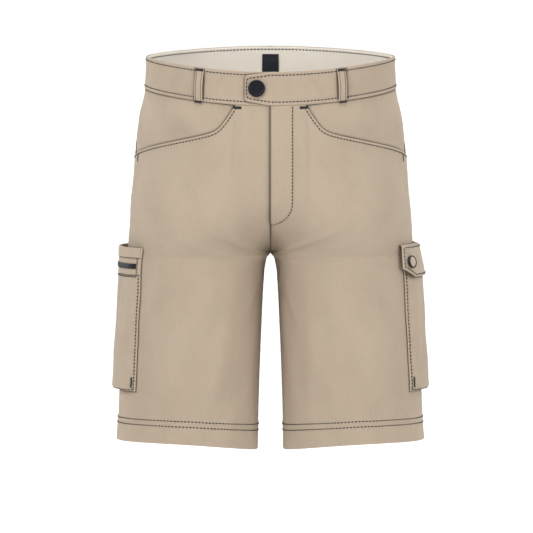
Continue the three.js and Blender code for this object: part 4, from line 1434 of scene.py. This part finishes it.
def make_lining():
    """The light lining, in one piece all round the inside of the band."""
    last = 2 * HALF_BAND - HALF_SEAM
    along = np.arange(HALF_SEAM, last, LINING_STEP)
    rows = graded(BAND_FOOT, LINING_TOP, [BAND_FOOT, *LINING_ROWS, LINING_TOP])
    round_u = np.where(along < last / 2, band_u(along), 2 - band_u(last + HALF_SEAM - along))
    round_u, level = np.meshgrid(round_u, rows[::-1], indexing="ij")
    beyond = round_u > 1
    lining = Cloth(np.where(beyond, 1, -1), lining_face, lining_inside)
    u = np.where(beyond, 2 - round_u, round_u)
    piece = lining.wall("cloth_band_lining", u, level, LINING, "top foot", turn_grain=True)
    dress(piece, "facing", "waistband_facing")


def make_label():
    """The dark label inside the centre back, left bare, with its folded ends a little proud."""
    under = LINING_FACE - LINING_THICK - SEAM
    top = BAND_TOP - LABEL_FROM

    def out(u, level):
        down = (top - level) / LABEL_LENGTH
        return zero(u, level) + under - 0.5 * np.sin(math.pi * down) ** 2 - 0.3 * ripple(level, 21, 103)

    half, foot = LABEL_WIDTH / 2, top - LABEL_LENGTH
    along = graded(-half, half, [-half, half], fine=0.35, coarse=1.6)
    rows = graded(foot, top, [foot, top], fine=0.35, coarse=1.6)[::-1]
    u, level = np.meshgrid(1 + 0.5 * along / BAND_BACK_ARC, rows, indexing="ij")
    label = Cloth(1, out, lambda u, level: out(u, level) - LABEL_THICK)
    piece = label.wall("cloth_label", u, level, LABEL_WEAVE, "top foot start end", turn_grain=True)
    dress(piece, "label", "waist_label")


# Belt loops

LOOP_TOP = BAND_TOP - 1
LOOP_FOOT = BAND_BOTTOM - LOOP_BELOW_SEAM


def loop_cloth(side, middle):
    def out(u, level):
        t = (LOOP_TOP - level) / (LOOP_TOP - LOOP_FOOT)
        free = np.clip((t - LOOP_SEWN) / (1 - 2 * LOOP_SEWN), 0, 1)
        bow = LOOP_BOW * np.sin(math.pi * free) ** 0.62
        settled = 0.7 * smooth(level, BAND_BOTTOM + 1, BAND_BOTTOM - 3)
        return BAND_PROUD + LAID_ON + LOOP_THICK + bow - settled

    def relief(u, level):
        across = (u - middle) * 2 * arc(0.0, u < 0.5)
        edge = LOOP_WIDTH / 2 - np.abs(across)
        return hump(edge - 1.1, 0.25, 0.9) + groove(edge - LOOP_STITCH_IN, 0.25, 0.6)

    return Cloth(side, out, lambda u, level: out(u, level) - LOOP_THICK, relief)


def make_loops(sewing, tacks):
    for name, (side, middle) in LOOPS.items():
        cloth = loop_cloth(side, middle)
        reach = float(arc(0.0, middle < 0.5))
        half = LOOP_WIDTH / 2
        row = half - LOOP_STITCH_IN
        along = graded(-half, half, [-half, -row, row, half], coarse=1.2, reach=0.8)
        rows = graded(LOOP_FOOT, LOOP_TOP, [LOOP_FOOT, LOOP_TOP], coarse=1.3)[::-1]
        u, level = np.meshgrid(middle + 0.5 * along / reach, rows, indexing="ij")
        piece = cloth.wall("cloth_belt_loop_" + name, u, level, TWILL, "top foot start end")
        dress(piece, "twill", "belt_loop_" + name)
        down = np.linspace(LOOP_TOP - 3, LOOP_FOOT + 3, 60)
        for edge in (-1, 1):
            at = np.full(down.shape, middle + 0.5 * edge * row / reach)
            sewing.row(cloth, at, down, pitch=LOOP_PITCH, length=2.0, radius=LOOP_THREAD / 2)
        across = middle + 0.5 * np.linspace(-half + 0.3, half - 0.3, TACK_POINTS) / reach
        for end in (LOOP_TOP - 2.0, LOOP_FOOT + 1.9):
            tacks.tack(cloth, across, np.full(TACK_POINTS, end), wide=3.0)


# Cargo pockets

def pocket_stand(pocket, u, level):
    """How far the inside of a pocket stands off the leg: flat where it is sewn, then full."""
    side_in = pocket_half(pocket, level) - np.abs(from_side(u, level))
    foot_in = level - pocket["bottom"]
    full = swell(side_in - 0.8, POCKET_EDGE_ROUND - 2) * swell(foot_in - 0.4, POCKET_FOOT_ROUND - 0.4)
    return LAID_ON + pocket["depth"] * full


def pocket_relief(pocket, seed, band=False):
    def relief(u, level):
        along = from_side(u, level)
        side_in = pocket_half(pocket, level) - np.abs(along)
        foot_in = level - pocket["bottom"]
        lift = sewn_edge(side_in, level, seed, POCKET_MARGIN, 0.3)
        lift = lift + sewn_edge(foot_in, along, seed + 1, POCKET_MARGIN, 0.3)
        inside = smooth(side_in, 6, 30) * smooth(foot_in, 6, 30)
        lift = lift + inside * 0.3 * np.sin(along / 19 + 0.5 * seed) * np.sin(level / 33 + seed)
        for at, down, long, wide, lean, high in POUCH_FOLDS:
            turn = math.radians(lean)
            up = level - pocket["bottom"] - down
            aside = (along - at) * math.cos(turn) - up * math.sin(turn)
            run = up * math.cos(turn) + (along - at) * math.sin(turn)
            lift = lift + inside * high * np.exp(-(run / long) ** 2 - (aside / wide) ** 2)
        if band:
            below = pocket["top"] - POCKET_HEM - POCKET_BAND
            lift = lift + 0.7 * smooth(level, below - 0.5, below + 0.5)
            lift = lift + groove(level - below + 0.9, 0.5, 0.8)
            lift = lift + groove(side_in - STRIP_IN, 0.7, 0.8) * smooth(level, below, below + 1)
        return lift

    return relief


def tool_shade(u, level):
    """Painted shadows on the tool pocket below its hem, round its strap, along the band's foot and down the
    band's strips.
    """
    pocket = TOOL_POCKET
    band_top = pocket["top"] - POCKET_HEM
    band_foot = band_top - POCKET_BAND
    side_in = pocket_half(pocket, level) - np.abs(from_side(u, level))
    strap_middle = (band_top + band_foot) / 2
    strap = np.abs(level - strap_middle) - STRAP_WIDTH / 2
    in_band = smooth(level, band_foot - 0.4, band_foot + 0.4)
    dark = 0.9 * beside(np.abs(band_top - 0.5 - level), 1.1)
    dark = dark + 0.5 * beside(strap, 0.9) * (side_in > STRIP_IN)
    dark = dark + 0.9 * beside(np.abs(level - band_foot + 0.9), 1.1)
    dark = dark + 0.8 * in_band * beside(np.abs(side_in - STRIP_IN), 0.8)
    return np.minimum(dark, 1)


def flap_foot(share):
    """Level of the flap's lower edge, which rises towards both ends."""
    from_end = FLAP["foot"] * (1 - np.abs(share))
    return FLAP["bottom"] + FLAP_RISE * np.clip(1 - from_end / FLAP_CHAMFER, 0, 1)


def flap_half(level):
    drop = (FLAP["top"] - level) / (FLAP["top"] - FLAP["bottom"])
    drawn_in = 2.6 * (1 - swell(FLAP["top"] - level, FLAP_SHOULDER + 1))
    return lerp(FLAP["half"], FLAP["foot"], drop) - drawn_in


def flap_shade(u, level):
    """The flap pocket's painted shadow below the flap."""
    along = from_side(u, level)
    foot = flap_foot(np.clip(along / flap_half(level), -1, 1))
    return 0.9 * beside(foot - level, 2.6)


def pocket_cloth(pocket, seed, shade, band=False):
    def inside(u, level):
        return pocket_stand(pocket, u, level)

    def face(u, level):
        return inside(u, level) + POCKET_THICK

    return Cloth(pocket["side"], face, inside, pocket_relief(pocket, seed, band), shade)


def pocket_grid(pocket, top, bottom, marks, share=1.0):
    """Places of a pocket between two levels, over a share of its width."""
    half = pocket["half"] * share
    side_marks = [-half, POCKET_MARGIN - half, STRIP_IN - half, half - STRIP_IN, half - POCKET_MARGIN, half]
    across = graded(-half, half, side_marks, coarse=2.6) / pocket["half"]
    level = graded(bottom, top, [bottom, top, *marks], coarse=2.6)[::-1]
    across, level = np.meshgrid(across, level, indexing="ij")
    return u_from_side(across * pocket_half(pocket, level), level), level


TOOL_POCKET_CLOTH = pocket_cloth(TOOL_POCKET, 107, tool_shade, band=True)
FLAP_POCKET_CLOTH = pocket_cloth(FLAP_POCKET, 113, flap_shade)


def pocket_outline(pocket, first):
    """The line of stitches down one side of a pocket, along its foot and up the other side."""
    down = np.linspace(pocket["top"] - first, pocket["bottom"] + POCKET_MARGIN, OUTLINE_POINTS)
    side = pocket_half(pocket, down) - POCKET_MARGIN
    foot = np.linspace(-side[-1], side[-1], OUTLINE_POINTS)[1:-1]
    along = np.concatenate([-side, foot, side[::-1]])
    level = np.concatenate([down, np.full(foot.shape, down[-1]), down[::-1]])
    return u_from_side(along, level), level


def tack_pocket(tacks, pocket, cloth):
    """A bar tack at each lower corner of a pocket."""
    down = np.linspace(*POCKET_TACK, TACK_POINTS)
    for end in (-1, 1):
        side = end * (pocket_half(pocket, down) - POCKET_MARGIN - POCKET_TACK_IN)
        tacks.tack(cloth, u_from_side(side, down), down, wide=3.2)


def laid_band(pocket, under, thick):
    """A band that lies on a pocket's face."""
    def inside(u, level):
        return under.face(u, level) + SEAM

    def relief(u, level):
        return under.relief(u, level) * 0.4 + 0.12 * ripple(from_side(u, level), 15, 127)

    return Cloth(pocket["side"], lambda u, level: inside(u, level) + thick, inside, relief)


def make_tool_pocket(sewing, tacks):
    pocket = TOOL_POCKET
    band_top = pocket["top"] - POCKET_HEM
    band_foot = band_top - POCKET_BAND
    strap_top = band_top - (POCKET_BAND - STRAP_WIDTH) / 2
    marks = [pocket["bottom"] + POCKET_MARGIN, band_top, band_foot, band_foot - 1]
    marks = marks + [strap_top, strap_top - STRAP_WIDTH]
    u, level = pocket_grid(pocket, pocket["top"], pocket["bottom"], marks)
    piece = TOOL_POCKET_CLOTH.wall("cloth_tool_pocket", u, level, TWILL, "top foot start end")
    dress(piece, "twill", "tool_pocket")
    hem = laid_band(pocket, TOOL_POCKET_CLOTH, CLOTH_THICK)
    u, level = pocket_grid(pocket, pocket["top"] - SEAM, band_top, [], HEM_SHARE)
    turned = hem.wall("cloth_tool_pocket_hem", u, level, TWILL, "top foot start end", turn_grain=True)
    dress(turned, "twill", "tool_pocket_hem")
    strap = laid_band(pocket, TOOL_POCKET_CLOTH, STRAP_THICK)
    u, level = pocket_grid(pocket, strap_top, strap_top - STRAP_WIDTH, [], STRAP_SHARE)
    webbing = strap.wall("webbing_tool_pocket", u, level, WEBBING, "top foot", turn_grain=True)
    dress(webbing, "webbing", "tool_pocket_strap")
    sewing.row(TOOL_POCKET_CLOTH, *pocket_outline(pocket, POCKET_HEM + POCKET_BAND + 3))
    half = pocket_half(pocket, band_foot)
    along = np.linspace(STRIP_IN - half, half - STRIP_IN, 300)
    level = np.full(along.shape, band_foot - 2.6)
    sewing.row(TOOL_POCKET_CLOTH, u_from_side(along, level), level)
    tack_pocket(tacks, pocket, TOOL_POCKET_CLOTH)


def flap_stand(u, level):
    reach = FLAP["half"] + FLAP_SPREAD - np.abs(from_side(u, level))
    drop = (FLAP["top"] - level) / (FLAP["top"] - FLAP["bottom"])
    over = lerp(FLAP_STAND_TOP, FLAP_STAND_BOTTOM, drop) * swell(reach, POCKET_EDGE_ROUND + FLAP_SPREAD)
    return LAID_ON + over * swell(FLAP["top"] - level, FLAP_SHOULDER)


def flap_relief(u, level):
    along = from_side(u, level)
    half = flap_half(level)
    side_in = half - np.abs(along)
    foot_in = (level - flap_foot(np.clip(along / half, -1, 1))) * 0.97
    top_in = FLAP["top"] - level
    nearest = np.minimum(side_in, foot_in)
    lift = sewn_edge(nearest, along + level, 131, FLAP_STITCH_IN) + groove(top_in - STITCH_IN, 0.3, 0.8)
    middle = smooth(nearest, 6, 16)
    lift = lift + middle * 0.45 * ripple(along, 47, 137) * smooth(top_in, 4, 20)
    for end in (-1, 1):
        across = along - end * (FLAP["foot"] - FLAP_BUTTON_IN)
        up = level - FLAP["bottom"] - FLAP_BUTTON_UP
        lift = lift + dent(np.hypot(across, up), *SNAP_DENT)
    return lift


def flap_face(u, level):
    return flap_stand(u, level) + FLAP_THICK


FLAP_CLOTH = Cloth(FLAP["side"], flap_face, flap_stand, flap_relief)


def flap_outline():
    """The closed line of stitches inside the flap's edges, as places."""
    top = FLAP["top"] - STITCH_IN
    low_end = FLAP["bottom"] + FLAP_RISE + FLAP_STITCH_IN
    low = FLAP["bottom"] + FLAP_STITCH_IN
    wide, narrow = flap_half(low_end) - FLAP_STITCH_IN, flap_half(top) - FLAP_STITCH_IN
    chamfer = FLAP["foot"] - FLAP_CHAMFER - 1
    half_line = [(narrow, top), (wide, low_end), (chamfer, low)]
    corners = [(-a, b) for a, b in half_line] + half_line[::-1] + [(-narrow, top)]
    line = []
    for (a, b), (c, d) in zip(corners, corners[1:]):
        steps = np.linspace(0, 1, 60)[:-1]
        line.append(np.stack([lerp(a, c, steps), lerp(b, d, steps)], axis=1))
    along, level = np.concatenate(line).T
    return u_from_side(along, level), level


def make_flap_pocket(sewing, tacks):
    pocket = FLAP_POCKET
    u, level = pocket_grid(pocket, pocket["top"], pocket["bottom"], [pocket["bottom"] + POCKET_MARGIN])
    piece = FLAP_POCKET_CLOTH.wall("cloth_flap_pocket", u, level, TWILL, "top foot start end")
    dress(piece, "twill", "flap_pocket")
    half = FLAP["half"]
    inner = half - FLAP_STITCH_IN
    marks = [-half, -inner, inner, half, half - FLAP_CHAMFER, FLAP_CHAMFER - half]
    share = graded(-half, half, marks, coarse=2.4) / half
    tall = FLAP["top"] - FLAP["bottom"]
    rows = graded(0, tall, [0, FLAP_STITCH_IN, tall - FLAP_STITCH_IN, tall], coarse=2.4) / tall
    level = lerp(FLAP["top"], flap_foot(share)[:, None], rows[None, :])
    u = u_from_side(share[:, None] * flap_half(level), level)
    flap = FLAP_CLOTH.wall("cloth_flap", u, level, TWILL, "foot start end", turn_grain=True)
    dress(flap, "twill", "flap_pocket_flap")
    sewing.row(FLAP_POCKET_CLOTH, *pocket_outline(pocket, 1.5))
    sewing.row(FLAP_CLOTH, *flap_outline())
    tack_pocket(tacks, pocket, FLAP_POCKET_CLOTH)


# Buttons

def turned_button(name, size, section, point, normal, material):
    """A round button from its section, standing on the cloth."""
    shares = evenly(np.array(section, float), BUTTON_RINGS)[0]
    turn = np.arange(BUTTON_SIDES) * 2 * math.pi / BUTTON_SIDES
    out, up = shares[:, 0] * size["radius"], shares[:, 1] * size["thick"]
    ring = np.stack([np.cos(turn), np.sin(turn)], axis=-1)
    flat = out[:, None, None] * ring[None]
    local = np.concatenate([flat, np.broadcast_to(up[:, None, None], flat.shape[:2] + (1,))], axis=-1)
    turn_to = Vector((0, 0, 1)).rotation_difference(Vector(normal)).to_matrix()
    points = local.reshape(-1, 3) @ np.array(turn_to).T + point
    index = np.arange(len(points)).reshape(len(out), BUTTON_SIDES)
    near, far = index[:-1], index[1:]
    faces = np.stack([near, np.roll(near, -1, axis=1), np.roll(far, -1, axis=1), far], axis=-1).reshape(-1, 4)
    return mesh_object(name, points, outward_faces(points, faces), material)


WAIST_BUTTON_SECTION = (
    (0.002, -0.12), (0.86, -0.12), (0.93, 0.0), (0.985, 0.22), (1.0, 0.45), (0.99, 0.68), (0.955, 0.88),
    (0.9, 0.99), (0.85, 0.985), (0.8, 0.9), (0.76, 0.82), (0.7, 0.785), (0.5, 0.76), (0.002, 0.74),
)
SNAP_RING_SECTION = (
    (0.002, -0.25), (0.9, -0.25), (0.965, -0.05), (1.0, 0.3), (0.99, 0.56), (0.95, 0.72), (0.9, 0.76),
    (0.855, 0.7), (0.83, 0.58), (0.82, 0.42), (0.002, 0.38),
)
SNAP_CAP_SECTION = (
    (0.002, 0.3), (0.76, 0.3), (0.785, 0.4), (0.785, 0.52), (0.76, 0.61), (0.7, 0.67), (0.55, 0.75),
    (0.4, 0.81), (0.2, 0.86), (0.002, 0.88),
)


def snap_seat(end):
    """Where a snap sits at one end of the flap, and the way it faces."""
    middle, level = end * (FLAP["foot"] - FLAP_BUTTON_IN), FLAP["bottom"] + FLAP_BUTTON_UP
    along = middle + np.array([0, SNAP_SPAN, -SNAP_SPAN, 0, 0])
    levels = level + np.array([0, 0, 0, -SNAP_SPAN, SNAP_SPAN])
    u = u_from_side(along, levels)
    face = on_cloth(FLAP["side"], u, levels, flap_face(u, levels))
    normal = np.cross(face[3] - face[4], face[1] - face[2])
    normal /= np.linalg.norm(normal)
    return face[0] + normal * 2 * SEAM, normal


def make_buttons():
    u = 0.5 * WAIST_BUTTON_ALONG / BAND_ARC
    point, normal = (value[0] for value in on_form(1, np.array([u]), np.array([0.0])))
    seat = point + normal * (BAND_PROUD + TAB_LIFT + SEAM)
    piece = turned_button("button_waist", WAIST_BUTTON, WAIST_BUTTON_SECTION, seat, normal, BUTTON_FACE)
    dress(piece, "waist_button", "waist_button")
    for name, end in (("front", -1), ("back", 1)):
        seat, normal = snap_seat(end)
        piece = turned_button("snap_cap_" + name, FLAP_BUTTON, SNAP_CAP_SECTION, seat, normal, SNAP_FACE)
        dress(piece, "flap_button", "flap_button_" + name)
        # The dark ring: the snap's own ring and a painted shadow round the cap.
        ring = turned_button("snap_ring_" + name, FLAP_BUTTON, SNAP_RING_SECTION, seat, normal, SNAP_RING_AND_GAP_SHADOW)
        dress(ring, "flap_button")


# Rows of stitches and bar tacks on the panels and the band

def tab_outline():
    """The line of stitches round the tab, from the centre front and back to it."""
    tip = -TAB_LENGTH + TAB_STITCH_IN
    top = np.linspace(0, tip + 3, 40)
    inset = TAB_TAPER * np.minimum(1, -top / (TAB_LENGTH - TAB_CORNER)) + STITCH_IN
    corner = TAB_TAPER + STITCH_IN + 3
    along = np.concatenate([top, [tip, tip], top[::-1]])
    at_tip = [BAND_TOP - corner, BAND_FOOT + corner]
    level = np.concatenate([BAND_TOP - inset, at_tip, BAND_FOOT + inset[::-1]])
    line = evenly(np.stack([along, level], axis=1), 200)[0]
    return 0.5 * line[:, 0] / BAND_ARC, line[:, 1]


def sew_waistband():
    sewing = Sewing()
    for side, first in ((-1, 3.0), (1, 0.5)):
        along = np.linspace(first, HALF_BAND - 1, ROW_POINTS)
        for down in BAND_ROWS:
            sewing.row(BAND[side], band_u(along), np.full(ROW_POINTS, BAND_TOP - down))
    sewing.row(BAND[1], *tab_outline())
    for side in (-1, 1):
        lining = Cloth(side, lining_face, lining_inside)
        along = np.linspace(4, HALF_BAND, ROW_POINTS)
        for level in LINING_ROWS[::-1]:
            sewing.row(lining, band_u(along), np.full(ROW_POINTS, level), inside=True)
    dress(sewing.piece("stitching_waistband", DARK_THREAD), "thread")


def sew_hems():
    sewing = Sewing()
    for side in (-1, 1):
        for up in HEM_ROWS:
            sewing.row(FRONT[side], *across_places(0.003, 0.497, HEM_LEVEL + up))
            sewing.row(BACK[side], *across_places(0.503, 0.997, HEM_LEVEL + up))
    dress(sewing.piece("stitching_hems", DARK_THREAD), "thread")


def sew_fronts():
    """The curved row of the fly and the rows along the hand pockets' mouths."""
    sewing = Sewing()
    bend_z = FLY_FOOT + FLY_BEND
    bend = bend_z - FLY_BEND * np.sin(np.linspace(0.02, math.pi / 2, 60))
    z = np.concatenate([np.linspace(FLY_TOP, bend_z, 80), bend])
    u, level = places_at_height(z, 0.05, lambda level: u_from_front(fly_line(z), level))
    sewing.row(FRONT[1], u, level, pitch=FLY_PITCH)
    for side in (-1, 1):
        u = np.linspace(MOUTH_START_U - 0.004, 0.492, PANEL_ROW_POINTS)
        z, slope = mouth_line(u)
        level = level_at(u, z - MOUTH_STITCH_IN * np.hypot(1, slope))
        keep = level < PANEL_TOP - 1.5
        sewing.row(FRONT[side], u[keep], level[keep])
    dress(sewing.piece("stitching_fronts", DARK_THREAD), "thread")


def tack_mouths(tacks):
    """Bar tacks at both ends of each hand pocket's mouth."""
    for side in (-1, 1):
        along = np.linspace(*MOUTH_TACK, TACK_POINTS)
        tacks.tack(FRONT[side], u_from_front(along, -25.0), np.full(TACK_POINTS, PANEL_TOP - 3.4), wide=3.6)
        z = np.linspace(*SIDE_TACK, TACK_POINTS)
        along = np.full(TACK_POINTS, -SIDE_TACK_IN)
        places = places_at_height(z, 0.4, lambda level: u_from_side(along, level))
        tacks.tack(FRONT[side], *places)


def make_stitching():
    """All the sewing, with the loops and the cargo pockets that are sewn on. The order fixes the
    small unevenness of each stitch."""
    sew_waistband()
    sew_hems()
    sew_fronts()
    loops, pockets, tacks = Sewing(), Sewing(), Sewing()
    make_loops(loops, tacks)
    dress(loops.piece("stitching_belt_loops", DARK_THREAD), "thread")
    make_tool_pocket(pockets, tacks)
    make_flap_pocket(pockets, tacks)
    dress(pockets.piece("stitching_pockets", DARK_THREAD), "thread")
    tack_mouths(tacks)
    dress(tacks.piece("bar_tacks", DARK_THREAD), "thread")


# Studio, in metres

CAMERA_FAR = 7.7
CAMERA_UP = math.radians(2.5)
CAMERA_AT = Vector((-0.0052, 0.0, -0.2531))
FLOOR_LEVEL = -0.75
FLOOR_WIDTH = 160.0
FLOOR_GLOW = 1.7
LENS = 400
SENSOR = 36
VIEW_END = 300
SKY = 0.46
# The place, width and watts of each soft light
LIGHTS = {
    "key": ((-2.1, -2.5, 1.7), 1.7, 62),
    "fill": ((2.7, -2.4, 0.4), 2.4, 43),
    "over": ((0.3, -1.3, 3.0), 1.4, 24),
    "back_left": ((2.4, 2.6, 1.4), 2.2, 56),
    "back_right": ((-2.6, 2.2, 1.0), 2.2, 40),
}


def make_camera():
    camera = bpy.data.cameras.new("camera")
    camera.lens = LENS
    camera.sensor_width = SENSOR
    camera.clip_end = VIEW_END
    eye = bpy.data.objects.new("camera", camera)
    back = Vector((0, -math.cos(CAMERA_UP), math.sin(CAMERA_UP)))
    eye.location = CAMERA_AT + back * CAMERA_FAR
    eye.rotation_euler = back.to_track_quat("Z", "Y").to_euler()
    bpy.context.scene.collection.objects.link(eye)
    bpy.context.scene.camera = eye


def soft_light(name, place, size, watts):
    light = bpy.data.lights.new(name, "AREA")
    light.shape = "DISK"
    light.size = size
    light.energy = watts
    lamp = bpy.data.objects.new(name, light)
    lamp.location = place
    lamp.rotation_euler = (Vector(place) - CAMERA_AT).to_track_quat("Z", "Y").to_euler()
    bpy.context.scene.collection.objects.link(lamp)


def make_floor():
    half = FLOOR_WIDTH / 2 / MM
    corners = np.array([(-half, -half), (half, -half), (half, half), (-half, half)])
    points = np.column_stack([corners, np.full(4, FLOOR_LEVEL / MM)])
    material, tree, surface = new_material("pale_floor")
    surface.inputs["Roughness"].default_value = 0.9
    surface.inputs["Specular IOR Level"].default_value = 0.0
    cloud = add_node(tree, "TexNoise", {"Scale": 0.7, "Detail": 2.0})
    tint = mix_colour(tree, cloud.outputs["Fac"], (0.8, 0.8, 0.8, 1), (0.84, 0.84, 0.84, 1))
    tree.links.new(tint, surface.inputs["Base Color"])
    glow = add_node(tree, "Emission", {"Color": (1, 1, 1, 1), "Strength": FLOOR_GLOW})
    seen = add_node(tree, "LightPath").outputs["Is Camera Ray"]
    share = maths(tree, "MULTIPLY", seen, 0.6)
    shown = add_node(tree, "MixShader", {0: share, 1: surface.outputs["BSDF"], 2: glow.outputs["Emission"]})
    tree.links.new(shown.outputs["Shader"], tree.nodes["Material Output"].inputs["Surface"])
    mesh_object("floor", points, np.array([[0, 1, 2, 3]]), material)


def make_sky():
    """Even light from all round. The camera sees it as white as the floor."""
    world = bpy.data.worlds.new("pale_studio")
    world.use_nodes = True
    bpy.context.scene.world = world
    tree = world.node_tree
    seen = add_node(tree, "LightPath").outputs["Is Camera Ray"]
    strength = maths(tree, "MULTIPLY_ADD", seen, 1.0 - SKY, SKY)
    background = tree.nodes["Background"]
    background.inputs["Color"].default_value = (1, 1, 1, 1)
    tree.links.new(strength, background.inputs["Strength"])


def make_studio():
    make_camera()
    make_floor()
    make_sky()
    for name, light in LIGHTS.items():
        soft_light(name, *light)
    bpy.context.scene.view_settings.view_transform = "Standard"


make_panels()
make_waistband()
make_lining()
make_label()
make_stitching()
make_buttons()
make_studio()

bpy.context.view_layer.update()
